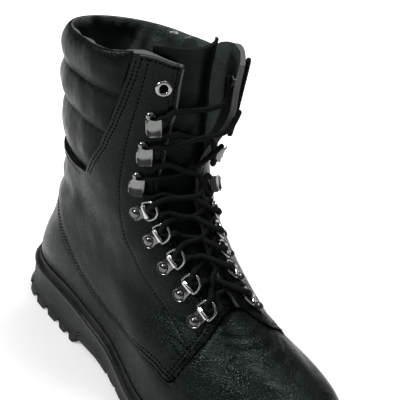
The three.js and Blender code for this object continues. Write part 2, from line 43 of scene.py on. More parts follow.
# Lengths are in millimetres until a mesh is made. Heel to toe is +X, the inner side +Y.
boot = {
    "placeX": -137.4, "placeY": -1.0,
    "wall": 2.2, "quarterStep": 1.0, "collarDepth": 3.9, "collarPadding": 3.7,
    "heelHeight": 38, "ballDrop": 14, "toeLift": 9, "archRise": 5, "treadThick": 9,
    "crown": {-1: 6, 1: 10},    # rise of the top edge beside the flap, outer and inner side
    "ringSmoothing": 44,
    "throatLow": 0.38, "innerShift": 0.14, "innerRise": 0.055,
    "flapTurn": 0.38, "hinge": (92, 46),
}
toMetres = 0.001

sectionNames = ["backX", "backZ", "frontX", "frontZ", "outHeel", "outWaist", "outBall",
                "inHeel", "inWaist", "inBall", "heelAt", "waistAt", "ballAt", "toePower", "toeSwing"]
sections = np.array([
    [-15, 38, 291, 28, 33, 36, 54, 33, 27, 47, 0.16, 0.42, 0.68, 2.3, 7],
    [-9, 54, 297, 50, 37, 37, 53, 35, 31, 51, 0.16, 0.42, 0.66, 2.3, 7],
    [-3, 70, 294, 70, 38, 38, 46, 35, 34, 47, 0.17, 0.40, 0.56, 2.1, 6],
    [3, 86, 275, 79, 37, 38, 41, 35, 35, 40, 0.20, 0.38, 0.50, 2.0, 5],
    [7, 102, 243, 87, 36, 36, 37, 34, 35, 36, 0.22, 0.38, 0.50, 2.0, 4],
    [11, 118, 215, 99, 35, 36, 37, 34, 36, 38, 0.26, 0.40, 0.52, 2.0, 3],
    [12, 134, 189, 115, 35, 37, 38, 35, 37, 38, 0.32, 0.42, 0.54, 2.0, 2],
    [12, 152, 166, 134, 38, 40, 40, 38, 40, 40, 0.38, 0.46, 0.54, 2.0, 1],
    [10, 172, 148, 157, 41, 43, 43, 42, 43, 43, 0.42, 0.48, 0.54, 2.0, 0],
    [8, 192, 138, 182, 44, 46, 45, 45, 46, 45, 0.44, 0.49, 0.54, 2.0, 0],
    [6, 211, 134, 206, 46, 48, 47, 47, 48, 47, 0.45, 0.50, 0.55, 2.0, 0],
    [7, 229, 132, 228, 48, 49, 50, 49, 49, 48, 0.45, 0.50, 0.55, 2.0, 0],
    [10, 246, 132, 245, 49, 51, 52, 49, 50, 51, 0.45, 0.50, 0.55, 2.0, 0],
])


def ease(t):
    # 3 t squared less 2 t cubed, between 0 and 1
    t = np.clip(t, 0, 1)
    return t * t * (3 - 2 * t)


def bell(t):
    # e to the power of minus t squared
    return np.exp(-np.square(t))


def lookUp(table, t):
    # straight lines between a table's pairs
    table = np.asarray(table, float)
    return np.interp(t, table[:, 0], table[:, 1])


def soleTop(x):
    # heel height, less the drop to the ball, plus the toe's lift
    toe = np.clip((x - 200) / 91, 0, 2) ** 2
    return boot["heelHeight"] - boot["ballDrop"] * ease((x - 60) / 120) + (boot["toeLift"] + 1) * toe


def soleUnder(x):
    # flat heel, raised arch, flat forefoot, toe spring by the square of the way to the tip
    arch = ease((x - 84) / 8) * (1 - ease((x - 112) / 16))
    return boot["archRise"] * arch + boot["toeLift"] * np.clip((x - 214) / 82, 0, 2) ** 2


def treadTop(x):
    # the tread is a third thinner in front of the heel
    return soleUnder(x) + boot["treadThick"] * (1 - 0.3 * ease((x - 90) / 50))


def catmullRom(a, b, c, d, f):
    # the cubic through b and c whose slopes there are half of c - a and d - b
    return 0.5 * (2 * b + (c - a) * f + (2 * a - 5 * b + 4 * c - d) * f ** 2
                  + (3 * b - a - 3 * c + d) * f ** 3)


# The last's surface: sections blended by a Catmull-Rom curve over v, each half section spaced
# evenly by its length over u. q is u on the outer side and 2 - u on the inner side.
tableV, tableU = 361, 601


def halfSections(side):
    # each row: half width = heel, waist and ball widths eased together, closed by a root at the back
    # and a superellipse at the toe, then a lean of height from back to front
    v = np.linspace(0, 1, tableV)
    last = len(sections) - 1
    padded = np.vstack([2 * sections[0] - sections[1], sections, 2 * sections[-1] - sections[-2]])
    i = np.minimum((v * last).astype(int), last - 1)
    f = (v * last - i)[:, None]
    a, b, c, d = padded[i], padded[i + 1], padded[i + 2], padded[i + 3]
    rows = catmullRom(a, b, c, d, f)
    s = {name: rows[:, k:k + 1] for k, name in enumerate(sectionNames)}
    which = "out" if side < 0 else "in"
    heel, waist, ball = s[which + "Heel"], s[which + "Waist"], s[which + "Ball"]
    t = (1 - np.cos(np.pi * np.linspace(0, 1, 481)))[None, :] / 2
    toWaist = ease((t - s["heelAt"]) / (s["waistAt"] - s["heelAt"]))
    toBall = ease((t - s["waistAt"]) / (s["ballAt"] - s["waistAt"]))
    back = np.sqrt(1 - np.clip(1 - t / s["heelAt"], 0, 1) ** 2)
    front = (1 - np.clip((t - s["ballAt"]) / (1 - s["ballAt"]), 0, 1) ** s["toePower"]) ** (1 / s["toePower"])
    half = (heel + (waist - heel) * toWaist + (ball - waist) * toBall) * back * front
    x = s["backX"] + (s["frontX"] - s["backX"]) * t
    low, high = sections[0][1], sections[0][3]
    straight = low + (high - low) * np.clip((x - sections[0][0]) / (sections[0][2] - sections[0][0]), 0, 1)
    z = s["backZ"] + (s["frontZ"] - s["backZ"]) * t
    z = z + (soleTop(x) - straight) * (1 - np.minimum(v * 3, 1))[:, None]
    y = side * half + s["toeSwing"] * ease((t - 0.3) / 0.7)
    points = np.stack([x, y, z], axis=2)
    lengths = np.cumsum(np.linalg.norm(np.diff(points, axis=1), axis=2), axis=1)
    lengths = np.hstack([np.zeros((tableV, 1)), lengths])
    u = np.linspace(0, 1, tableU)
    out = np.empty((tableV, tableU, 3))
    for row in range(tableV):
        for k in range(3):
            out[row, :, k] = np.interp(u * lengths[row, -1], lengths[row], points[row, :, k])
    out[:, :, 2] += boot["crown"][side] * bell((u - 0.78) / 0.1)[None, :] * ease((v - 0.86) / 0.14)[:, None]
    return out


lastTable = np.concatenate([halfSections(-1), halfSections(1)[:, -2::-1]], axis=1)
tableQ = lastTable.shape[1] - 1


def smoothRings(table, reach):
    # a soft average round each ring, so that no kink shows in a highlight
    weights = np.hanning(2 * reach + 3)[1:-1]
    out = np.zeros_like(table[:, :-1])
    for k, weight in zip(range(-reach, reach + 1), weights / weights.sum()):
        out += weight * np.roll(table[:, :-1], k, axis=1)
    return np.concatenate([out, out[:, :1]], axis=1)


lastTable = smoothRings(lastTable, boot["ringSmoothing"])


def lookTable(table, q, v):
    # bilinear reading of a table over v and the ring q
    q = np.mod(q, 2) * tableQ / 2
    v = np.clip(v, 0, 1) * (tableV - 1)
    i = np.minimum(v.astype(int), tableV - 2)
    j = np.minimum(q.astype(int), tableQ - 1)
    f, g = (v - i)[..., None], (q - j)[..., None]
    return ((table[i, j] * (1 - g) + table[i, j + 1] * g) * (1 - f)
            + (table[i + 1, j] * (1 - g) + table[i + 1, j + 1] * g) * f)


def unit(a):
    # each vector over its own length
    return a / np.maximum(np.linalg.norm(a, axis=-1, keepdims=True), 1e-9)


def tableNormals():
    # across both steps of the table, and level at the featherline
    ring = np.concatenate([lastTable[:, -4:-1], lastTable, lastTable[:, 1:4]], axis=1)
    along = (ring[:, 6:] - ring[:, :-6])
    up = np.gradient(lastTable, axis=0)
    out = unit(np.cross(along, up))
    out[:, :, 2] *= ease(np.linspace(0, 1, tableV) / 0.06)[:, None]
    return unit(out)


normalTable = tableNormals()


def surface(q, v):
    # the table read at q and v, and carried straight up or down past its ends
    q, v = np.broadcast_arrays(np.asarray(q, float), np.asarray(v, float))
    p = lookTable(lastTable, q, v)
    p[..., 2] += 200 * (v - np.clip(v, 0, 1))
    return p


def normalAt(q, v):
    # the table of normals read in the same way, and made one long
    q, v = np.broadcast_arrays(np.asarray(q, float), np.asarray(v, float))
    return unit(lookTable(normalTable, q, v))


def openFlap(p):
    # the inner flap turns out round an upright line, the more the higher it is
    p = np.array(p, float)
    dx, dy = p[..., 0] - boot["hinge"][0], p[..., 1] - boot["hinge"][1]
    angle = boot["flapTurn"] * ease((p[..., 2] - 172) / 45) * ease(np.hypot(dx, dy) / 26)
    angle = np.where((dx > 0) & (p[..., 1] >= 0), angle, 0)
    x = boot["hinge"][0] + dx * np.cos(angle) - dy * np.sin(angle)
    y = boot["hinge"][1] + dx * np.sin(angle) + dy * np.cos(angle)
    return np.stack([x, y, p[..., 2]], axis=-1)


def shiftAt(v):
    # how far over the ring the inner side's throat lies, less towards the top
    return boot["innerShift"] * (1 - ease((v - 0.64) / 0.2))


def riseAt(v):
    # how much higher the inner side's throat starts
    return boot["innerRise"] * (1 - ease((v - 0.4) / 0.24))


def signedDistance(points, outline):
    # distance to a closed outline, positive inside it
    outline = np.asarray(outline, float)
    shape = points.shape[:-1]
    p = points.reshape(-1, 2)
    best = np.full(len(p), 1e9)
    inside = np.zeros(len(p), bool)
    for a, b in zip(outline, np.roll(outline, -1, axis=0)):
        edge = b - a
        t = np.clip(((p - a) @ edge) / (edge @ edge), 0, 1)
        best = np.minimum(best, np.hypot(*(p - a - t[:, None] * edge).T))
        crosses = (a[1] > p[:, 1]) != (b[1] > p[:, 1])
        if edge[1] != 0:
            inside ^= crosses & (p[:, 0] < a[0] + edge[0] * (p[:, 1] - a[1]) / edge[1])
    return np.where(inside, best, -best).reshape(shape)


def smoothNoise(p, size, seed, stretch=(1, 1, 1)):
    # a sum of nine waves in fixed random directions, about -1 to 1
    p = p * np.array(stretch)
    rng = np.random.default_rng(seed)
    total = np.zeros(p.shape[:-1])
    for _ in range(9):
        way = rng.normal(size=3)
        way /= np.linalg.norm(way)
        total += np.sin(p @ way * (2 * np.pi / size) * rng.uniform(0.6, 1.5) + rng.uniform(0, 6.28))
    return total / 4.5


def gridFaces(rows, columns, closed=False):
    # four corners for each cell of a grid of points; closed joins the last column to the first
    r = np.arange(rows - 1)[:, None]
    c = np.arange(columns if closed else columns - 1)[None, :]
    a = r * columns + c
    b = r * columns + (c + 1) % columns
    return np.stack([a, b, b + columns, a + columns], axis=-1).reshape(-1, 4)


def closedSheet(front, back, turned=False):
    # two matching grids joined round their edges; turned where their columns run towards -q
    rows, cols = front.shape[:2]
    count = rows * cols
    faces = gridFaces(rows, cols)
    loop = np.concatenate([np.arange(cols), np.arange(1, rows) * cols + cols - 1,
                           (rows - 1) * cols + np.arange(cols - 2, -1, -1),
                           np.arange(rows - 2, 0, -1) * cols])
    after = np.roll(loop, -1)
    walls = np.stack([after, loop, loop + count, after + count], axis=1)
    faces = np.concatenate([faces, faces[:, ::-1] + count, walls])
    return np.concatenate([front.reshape(-1, 3), back.reshape(-1, 3)]), faces[:, ::-1] if turned else faces


def joinShapes(shapes):
    # several pairs of points and faces as one
    points, faces, start = [], [], 0
    for p, f in shapes:
        points.append(np.asarray(p, float))
        faces += [[int(i) + start for i in face] for face in f]
        start += len(p)
    return np.concatenate(points), faces


def makePiece(name, points, faces, material, slot, replaced=(), values=None, sharp=None):
    # the piece's place is in its mesh and its object stays at the origin
    place = np.asarray(points, float).reshape(-1, 3) * toMetres
    place = place + np.array([boot["placeX"], boot["placeY"], 0]) * toMetres
    mesh = bpy.data.meshes.new(name)
    mesh.from_pydata(place.tolist(), [], [list(map(int, f)) for f in faces])
    mesh.polygons.foreach_set("use_smooth", np.ones(len(mesh.polygons), bool))
    for key, value in (values or {}).items():
        layer = mesh.attributes.new(key, "FLOAT", "POINT")
        layer.data.foreach_set("value", np.array(np.broadcast_to(value, len(place)), np.float32))
    if sharp is not None:
        mesh.set_sharp_from_angle(angle=math.radians(sharp))
    mesh.materials.append(material)
    mesh.validate()
    mesh.update()
    piece = bpy.data.objects.new(name, mesh)
    scene.collection.objects.link(piece)
    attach(piece, "root")
    if replaced:
        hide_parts(*replaced)
    return piece


# Camera: the photograph's place and tilt round the boot. Angles are in degrees.
camera = {"place": (412.3, -289.8, 356.7), "azimuth": 41.835, "elevation": 27.02, "roll": -11.76,
          "lens": 57.6, "sensor": 36, "clip": (0.01, 20)}


def addCamera():
    # turned by the azimuth about the upright, then up by the elevation, then by the roll about its own axis
    azimuth, elevation, roll = (math.radians(camera[k]) for k in ("azimuth", "elevation", "roll"))
    turn = (Matrix.Rotation(azimuth, 4, "Z") @ Matrix.Rotation(math.pi / 2 - elevation, 4, "X")
            @ Matrix.Rotation(-roll, 4, "Z"))
    x, y, z = camera["place"]
    data = bpy.data.cameras.new("camera")
    data.lens, data.sensor_width = camera["lens"], camera["sensor"]
    data.clip_start, data.clip_end = camera["clip"]
    eye = bpy.data.objects.new("camera", data)
    scene.collection.objects.link(eye)
    place = Vector((x + boot["placeX"], y + boot["placeY"], z)) * toMetres
    eye.matrix_world = Matrix.Translation(place) @ turn
    scene.camera = eye


addCamera()
print("camera set")

# Upper: one skin over the last with its own wall, quarter overlays, collar recess and creases.
upper = {
    "throatEdge": [(0.36, 0.865), (0.45, 0.88), (0.53, 0.88), (0.6, 0.862), (0.69, 0.852),
                   (0.75, 0.88), (0.81, 0.9), (0.87, 0.915), (1, 0.918)],
    "collarEdge": [(0.6, 0.36), (0.617, 0.463), (0.73, 0.606), (0.8, 0.663), (0.87, 0.7),
                   (0.93, 0.725), (1, 0.738)],
    "collarLow": 0.6,
    "paddingEdge": [(0.6, 0.45), (0.73, 0.606), (0.8, 0.663), (0.87, 0.7), (0.93, 0.725), (1, 0.738)],
    "quarterLean": 0.25,
    "outerQuarter": [(-60, 128), (2, 122), (20, 113), (33, 102.5), (44, 93.5), (54, 86), (64, 80),
                     (74, 73.5), (90, 63.5), (108, 56), (130, 50.5), (145, 50.5), (162, 53),
                     (180, 56), (196, 56.5), (213, 54), (213.8, 66), (213.8, 77), (212.5, 88),
                     (210, 97), (204, 105), (208, 115), (260, 140), (260, 300), (-60, 300)],
    "innerQuarter": [(-60, 128), (-8, 122), (10, 115), (23, 106), (34, 98), (50, 91), (64, 80),
                     (80, 67), (98, 60), (120, 54), (150, 54), (178, 56), (200, 57), (260, 54),
                     (260, 300), (-60, 300)],
    "innerFront": [(-60, -16), (196, -16), (203, -6), (210, 4.5), (221, 12), (225, 18), (224, 32),
                   (214, 58), (214, 90), (-60, 90)],
    "eyestaySeam": [(0.706, 0.24), (0.69, 0.29), (0.674, 0.339), (0.655, 0.375), (0.638, 0.415),
                    (0.63, 0.46), (0.63, 0.514), (0.642, 0.567), (0.668, 0.617), (0.7, 0.68),
                    (0.735, 0.763), (0.756, 0.825), (0.776, 0.887), (0.786, 0.94), (0.792, 0.99)],
    # trough or ridge lines over q and v, then width and depth in mm
    "creases": [
        ([(0.80, 0.345), (0.88, 0.352), (0.95, 0.372), (1.02, 0.385)], 2.0, 0.25),
        ([(0.78, 0.318), (0.87, 0.322), (0.96, 0.345), (1.06, 0.352)], 2.2, 0.22),
        ([(0.83, 0.292), (0.92, 0.298), (1.0, 0.318), (1.08, 0.318)], 2.4, 0.2),
        ([(0.76, 0.27), (0.84, 0.268), (0.93, 0.275), (1.02, 0.29)], 2.6, 0.15),
        ([(0.46, 0.40), (0.53, 0.41), (0.6, 0.435)], 7.0, 0.7),
        ([(0.36, 0.47), (0.46, 0.475), (0.56, 0.51)], 8.0, 0.8),
        ([(1.4, 0.40), (1.33, 0.42), (1.27, 0.45)], 7.0, 0.7),
        ([(0.05, 0.45), (0.14, 0.44), (0.24, 0.46)], 6.0, 0.8),
        ([(1.95, 0.45), (1.86, 0.44), (1.76, 0.46)], 6.0, 0.8),
        ([(0.02, 0.52), (0.1, 0.53), (0.2, 0.55)], 6.0, 0.7),
    ],
    # the quarter's edge in mm: a rounded step, a swell inside it, a stitched trough and a dip outside
    "stepRound": (0.5, 0.9), "swell": 0.45, "trough": 0.3, "troughIn": 3.4, "dip": 0.6,
    "seamDepth": 0.3, "lumps": (0.3, 0.12), "wrinkle": 1.9, "creaseSwell": 0.6,
    "columns": (48, 70, 34), "lowRows": 84, "midRows": 40, "topRows": 46,
}


def viewOf(p, lean):
    # a side view: along the foot, less a share of y, and height
    return np.stack([p[..., 0] - lean * p[..., 1], p[..., 2]], axis=-1)


def quarterDistance(q, p):
    # how far a point lies inside the quarter's outline, in mm
    outer = signedDistance(viewOf(p, upper["quarterLean"]), upper["outerQuarter"])
    inner = np.minimum(signedDistance(viewOf(p, 0), upper["innerQuarter"]),
                       signedDistance(p[..., :2], upper["innerFront"]))
    return np.where(np.mod(q, 2) < 0.88, outer, inner)


def distanceToLine(p, line):
    # distance in space to a line of points
    best = np.full(p.shape[:-1], 1e9)
    for a, b in zip(line[:-1], line[1:]):
        edge = b - a
        t = np.clip(((p - a) @ edge) / max(edge @ edge, 1e-9), 0, 1)
        best = np.minimum(best, np.linalg.norm(p - a - t[..., None] * edge, axis=-1))
    return best


def densify(line, count):
    # more points along a line, its corners rounded by averaging
    line = np.asarray(line, float)
    at = np.linspace(0, len(line) - 1, count)
    out = np.stack([np.interp(at, np.arange(len(line)), line[:, k]) for k in range(line.shape[1])], axis=1)
    return smoothLine(out, max(1, count // (2 * len(line))))


def smoothLine(line, passes=3):
    # each inner point averaged with its two neighbours, which count half
    line = line.copy()
    for _ in range(passes):
        line[1:-1] = (line[:-2] + 2 * line[1:-1] + line[2:]) / 4
    return line


def innerV(v, side):
    # the inner side's places lie a little higher
    return v + (riseAt(v) if side > 0 else 0)


def sideQ(u, v, side):
    # u on the outer side; the inner side is its mirror, moved over the ring
    return u if side < 0 else 2 - u - shiftAt(v)


def onSide(u, v, side):
    # a line over u and v as ring places on one side
    return np.stack([sideQ(u, v, side), innerV(v, side)], axis=1)


eyestayLines = {side: surface(*onSide(*densify(upper["eyestaySeam"], 60).T, side).T) for side in (-1, 1)}
creaseLines = [(surface(*densify(line, 16).T), width, depth) for line, width, depth in upper["creases"]]


def skinRelief(q, v, p):
    # height over the last: the quarter's step with a rounded edge, seams drawn in, creases, soft lumps
    inside = quarterDistance(q, p)
    before, width = upper["stepRound"]
    height = boot["quarterStep"] * ease((inside + before) / width)
    height = height + upper["swell"] * ease((inside - 3) / 9) - upper["dip"] * bell((inside + 1.1) / 1.1)
    height = height - upper["trough"] * bell((inside - upper["troughIn"]) / 1.5)
    for side in (-1, 1):
        near = distanceToLine(p, eyestayLines[side])
        height = height - upper["seamDepth"] * bell(near / 1.1)
    for line, width, depth in creaseLines:
        near = distanceToLine(p, line)
        height = height - depth * bell(near / width)
        height = height + upper["creaseSwell"] * depth * bell((near - 1.9 * width) / width)
    soft = ease((v - 0.2) / 0.1) * (1 - ease((v - 0.9) / 0.1))
    wide, narrow = upper["lumps"]
    height = height + wide * smoothNoise(p, 34, 3) * (0.35 + 0.65 * soft)
    return height + narrow * smoothNoise(p, 13, 4) * soft


def outerSkin(q, v, lift=0):
    # the upper's outside with its relief, and the flap turned out
    p = surface(q, v)
    height = skinRelief(q, v, p) + lift
    return openFlap(p + normalAt(q, v) * height[..., None])


def liningDepth(q, v):
    # the wall, and behind the collar its padding, faded out towards the front
    u = np.mod(q, 2)
    u = np.where(u <= 1, u, 2 - u)
    front = 1 - ease((u - lookUp(upper["paddingEdge"], v) - 0.02) / 0.09)
    return boot["wall"] + boot["collarPadding"] * ease((v - 0.52) / 0.07) * front


def upperGrid():
    # columns run round the ring in five blocks, rows rise from the sole to the collar
    a, b, m = upper["columns"]
    low, top = boot["throatLow"], upper["collarLow"]
    rows = np.concatenate([np.linspace(0, low, upper["lowRows"]),
                           np.linspace(low, top, upper["midRows"])[1:],
                           np.linspace(top, 1, upper["topRows"])[1:]])
    v = rows[:, None]
    held = np.maximum(v, low)
    collar = lookUp(upper["collarEdge"], np.maximum(v, top))
    outerEdge = lookUp(upper["throatEdge"], held)
    innerEdge = 2 - outerEdge - shiftAt(held)
    blocks = [(0 * v, collar, a), (collar, outerEdge, b), (outerEdge, innerEdge, m),
              (innerEdge, 2 - collar, b), (2 - collar, 2 + 0 * v, a)]
    parts = []
    for start, end, count in blocks:
        t = np.linspace(0, 1, count, endpoint=False)[None, :]
        parts.append(start + (end - start) * t)
    q = np.concatenate(parts, axis=1)
    lean = ease((q - outerEdge) / (innerEdge - outerEdge)) * (1 - ease((q - 1.2) / 0.4))
    rise = boot["innerRise"] * ease((v - 0.12) / (low - 0.12)) * np.where(v > low, riseAt(v) / riseAt(low), 1)
    return rows, q, v + rise * lean, (a, b, m)


def buildUpper(materials):
    # outside = last + relief, or the collar's recess; inside = last less the lining's depth; then the rims
    rows, q, v, (a, b, m) = upperGrid()
    nRows, nCols = q.shape
    p, n = surface(q, v), normalAt(q, v)
    column = np.arange(nCols)[None, :]
    inCollar = ((column < a) | (column > a + 2 * b + m)) & (rows[:, None] > upper["collarLow"] + 1e-6)
    relief = np.where(inCollar, -boot["collarDepth"], skinRelief(q, v, p))
    outer = openFlap(p + n * relief[..., None])
    depth = liningDepth(q, v)
    u = np.where(q <= 1, q, 2 - q)
    puffed = ease((v - 0.62) / 0.05) * (1 - ease((u - 0.62) / 0.08))
    wrinkle = upper["wrinkle"] * smoothNoise(p, 15, 8, (1, 1, 0.6)) + 0.7
    rim = np.sqrt(np.clip(1 - ((v - 0.965) / 0.035).clip(0, 1) ** 2, 0, 1))
    depth = np.where(puffed > 0, (depth + puffed * wrinkle) * (0.72 + 0.28 * rim), depth)
    inner = openFlap(p - n * depth[..., None])
    count = nRows * nCols
    faces = gridFaces(nRows, nCols, closed=True)
    r = faces[:, 0] // nCols
    c = faces[:, 0] % nCols
    cut = (c >= a + b) & (c < a + b + m) & (rows[r] >= boot["throatLow"] - 1e-6)
    outerFaces = faces[~cut]
    innerFaces = outerFaces[:, ::-1] + count

    def rim(first, second):
        # faces from an edge of the outside to the same edge of the inside
        return np.stack([second, first, first + count, second + count], axis=1)

    here, after = np.arange(nCols), (np.arange(nCols) + 1) % nCols
    closed = (here < a + b) | (here >= a + b + m)
    last = (nRows - 1) * nCols
    first = int(np.searchsorted(rows, boot["throatLow"] - 1e-6))
    up = np.arange(first, nRows - 1) * nCols + a + b
    throat = first * nCols + np.arange(a + b, a + b + m)
    rimFaces = np.concatenate([rim(here, after), rim(last + after[closed], last + here[closed]),
                               rim(up, up + nCols), rim(up + nCols + m, up + m), rim(throat, throat + 1)])
    allFaces = np.concatenate([outerFaces, innerFaces, rimFaces])
    points = np.concatenate([outer.reshape(-1, 3), inner.reshape(-1, 3)])
    used = np.zeros(len(points), bool)
    used[allFaces.ravel()] = True
    index = np.cumsum(used) - 1
    creased = bell((rows[:, None] - 0.31) / 0.055) * bell((q - 0.93) / 0.14)
    ankle = bell((v - 0.47) / 0.06) * bell((u - 0.45) / 0.25)
    crease = np.concatenate([np.maximum(creased, 0.35 * ankle).ravel(), (0.8 * puffed + 0 * q).ravel()])
    piece = makePiece("upper_leather", points[used], index[allFaces], materials["leather"], "leather",
                      ["upper"], {"crease": crease[used]}, sharp=50)
    piece.data.materials.append(materials["liningLeather"])
    piece.data.materials.append(materials["cutEdge"])
    which = np.zeros(len(piece.data.polygons), np.int32)
    which[len(outerFaces):len(outerFaces) + len(innerFaces)] = 1
    which[len(outerFaces) + len(innerFaces):] = 2
    piece.data.polygons.foreach_set("material_index", which)
    return piece


# Padded collar: three rolls of soft leather with pulled-in seams.
collar = {"seams": (0.6, 0.765, 0.88, 1.0), "swell": 4.0, "roundness": 0.7, "seamDepth": -2.6, "back": -3.6,
          "frontFade": 0.09, "wrinkles": (0.45, 0.16), "pucker": 0.35, "fill": 0.8,
          "columns": 220, "rows": 96}


def buildCollar(materials):
    # height = seam depth + swell * sine over each roll to the power of its roundness, less at the front,
    # and wrinkles that pucker at the seams
    t = np.linspace(0, 1, collar["rows"])[:, None]
    s = np.linspace(-1, 1, collar["columns"])[None, :]
    seams = np.array(collar["seams"])
    v = seams[0] + 0.002 + (0.998 - seams[0]) * t + 0 * s
    edge = lookUp(upper["collarEdge"], v)
    u = np.abs(s) * (edge - 0.004)
    q = np.where(s <= 0, u, 2 - u)
    p, n = surface(q, v), normalAt(q, v)
    i = np.clip(np.searchsorted(seams, v, side="right") - 1, 0, 2)
    part = np.clip((v - seams[i]) / (seams[i + 1] - seams[i]), 0, 1)
    rise = np.sin(np.pi * part).clip(0, 1) ** collar["roundness"]
    front = np.sqrt(1 - (1 - np.clip((edge - u) / collar["frontFade"], 0, 1)) ** 2)
    wide, narrow = collar["wrinkles"]
    near = bell((part - 0.02) / 0.16) + bell((part - 0.98) / 0.16)
    wrinkle = (wide * smoothNoise(p, 22, 5, (1, 1, 0.3)) + narrow * smoothNoise(p, 9, 6, (1, 1, 0.5))
               + collar["pucker"] * near * smoothNoise(p, 8, 7, (1, 1, 0.2)))
    height = collar["seamDepth"] + collar["swell"] * rise * (0.25 + 0.75 * front) + wrinkle * front * rise
    outer, inner = openFlap(p + n * height[..., None]), openFlap(p + n * collar["back"])
    crease = np.concatenate([np.clip(near, 0, 1).ravel(), 0 * v.ravel()])
    piece = makePiece("collar_padding", *closedSheet(outer, inner, turned=True), materials["softLeather"],
                      "soft_leather", ["padded_collar"], {"crease": crease}, sharp=70)
    return piece


# Tongue: soft leather behind the lacing, standing above the collar.
tongue = {"low": 0.375, "halfWidth": 0.17, "gap": 0.7, "thick": 2.6, "rise": 9.5, "sideDrop": 6,
          "lean": -0.25, "folds": 0.25, "rows": 110, "columns": 64}


def buildTongue(materials):
    # the upper drawn in by its lining and a gap, lifted at the top in a low arch,
    # with soft folds in its middle
    v = np.linspace(tongue["low"], 1, tongue["rows"])[:, None]
    s = np.linspace(-1, 1, tongue["columns"])[None, :]
    q = 1 + s * (tongue["halfWidth"] + 0.03 * ease((v - 0.4) / 0.2))
    v = v + 0 * s
    base, n = surface(q, v), normalAt(q, v)
    deep = liningDepth(q, v) + 1.6 * ease((v - 0.84) / 0.06) + tongue["gap"]
    lift = (tongue["rise"] - tongue["sideDrop"] * s * s) * ease((v - 0.8) / 0.2)
    base = base + np.stack([tongue["lean"] * lift, 0 * lift, lift], axis=-1)
    middle = 1 - ease(np.abs(s) / 0.8)
    folds = tongue["folds"] * smoothNoise(surface(q, v), 15, 11, (1, 0.35, 1)) * middle
    outer = base - n * (deep - 0.35 * middle - folds)[..., None]
    inner = base - n * (deep + tongue["thick"] * (1 - 0.3 * s * s))[..., None]
    return makePiece("tongue_leather", *closedSheet(outer, inner), materials["softLeather"], "soft_leather",
                     ["tongue"], sharp=60)


# Sole: rings round the featherline, with the lip, the channel and a ribbed tread.
sole = {
    "lipOut": 5, "lipDrop": 8, "heelEnd": 88, "around": 300,
    # rings of the side wall: how far out, the level, how far above it, and the masks of the lip, which gets a
    # painted highlight, and of the channel, which gets painted shade
    "wall": [(-3, "tread", 0.3, 0, 0), (3.6, "tread", 0.3, 0, 0), (4.3, "tread", 0.6, 0, 0),
             (4.55, "tread", 1.4, 0, 0), (4.25, "tread", 2.2, 0, 0), (4.1, "middle", 0, 0, 0),
             (4.25, "lip", -2.3, 0, 0), (4.65, "lip", -1.5, 0, 0), (5, "lip", -0.75, 1, 0),
             (4.9, "lip", -0.2, 1, 0), (4.5, "lip", 0.05, 1, 0), (3.7, "lip", -0.1, 1, 0),
             (2.7, "lip", -0.9, 0.4, 1), (1.9, "lip", -0.6, 0, 1), (1.35, "lip", 0.6, 0, 1),
             (1.05, "lip", 2.2, 0, 1), (0.95, "top", -4, 0, 1), (1.0, "top", -2, 0, 1),
             (1.25, "top", -0.9, 0, 0.5), (1.1, "top", -0.4, 0, 0.5), (0.4, "top", -0.3, 0, 0.5),
             (-3, "top", -0.3, 0, 0.5)],
    "lugDepth": 4.5, "sideDepth": 0.9, "channelHalf": 2, "heelChannel": (12, 68), "soleChannel": (128, 228),
    "heelGrooves": (2, 21, 41, 60, 76), "soleGrooves": tuple(range(132, 268, 15)), "channels": (-16, 22),
    "treadSpread": 1.25, "treadStations": {"heel": 260, "outsole": 420},
}


def soleRing(q, far, level, above):
    # the featherline moved out, at a level that is read where the ring then lies
    p = surface(q, 0 * q) + normalAt(q, 0 * q) * far
    tread, top = treadTop(p[:, 0]), soleTop(p[:, 0])
    lip = top - sole["lipDrop"]
    levels = {"tread": tread, "middle": (tread + lip) / 2, "lip": lip, "top": top}
    return np.stack([p[:, 0], p[:, 1], levels[level] + above], axis=1)


def closedLoft(rings):
    # rings joined into a tube whose two ends are ladders between the outer and the inner side
    m = len(rings[0])
    half = m // 2
    i = np.arange(1, half - 1)
    ladder = np.stack([i, i + 1, m - i - 1, m - i], axis=1).tolist()
    ladder += [[0, 1, m - 1], [half - 1, half, half + 1]]
    faces = gridFaces(len(rings), m, closed=True).tolist()
    for first, way in ((0, -1), ((len(rings) - 1) * m, 1)):
        faces += [[first + k for k in f[::way]] for f in ladder]
    return np.concatenate(rings), faces


def buildMidsole(materials):
    # one closed loft of the wall's rings, with masks for the lip's painted highlight and the channel's
    # painted shade
    q = np.linspace(0, 2, sole["around"], endpoint=False)
    shape = closedLoft([soleRing(q, *ring[:3]) for ring in sole["wall"]])
    masks = {key: np.repeat([float(ring[k]) for ring in sole["wall"]], len(q))
             for key, k in (("lip", 3), ("channel", 4))}
    return makePiece("midsole_rubber", *shape, materials["rubber"], "sole_rubber", ["midsole"], masks,
                     sharp=60)


def lugMask(x, y):
    # 0 at the bottom of a groove, 1 on a lug: grooves across the foot and channels along it
    def across(places, half, slope):
        # the least of eased distances to the grooves
        return np.min([ease((np.abs(x - g) - half) / slope) for g in places], axis=0)

    def along(middle, ends):
        # the eased distance to a channel's middle, between its ends
        wall = ease((np.abs(y - middle) - sole["channelHalf"]) / 1.2)
        return np.where((x > ends[0]) & (x < ends[1]), wall, 1)

    heel = np.minimum(across(sole["heelGrooves"], 1.3, 3.4), along(0, sole["heelChannel"]))
    front = across(sole["soleGrooves"], 1.1, 2.7)
    for y0 in sole["channels"]:
        front = np.minimum(front, along(y0 + 0.05 * (x - 178), sole["soleChannel"]))
    return np.where(x < sole["heelEnd"], heel, front)


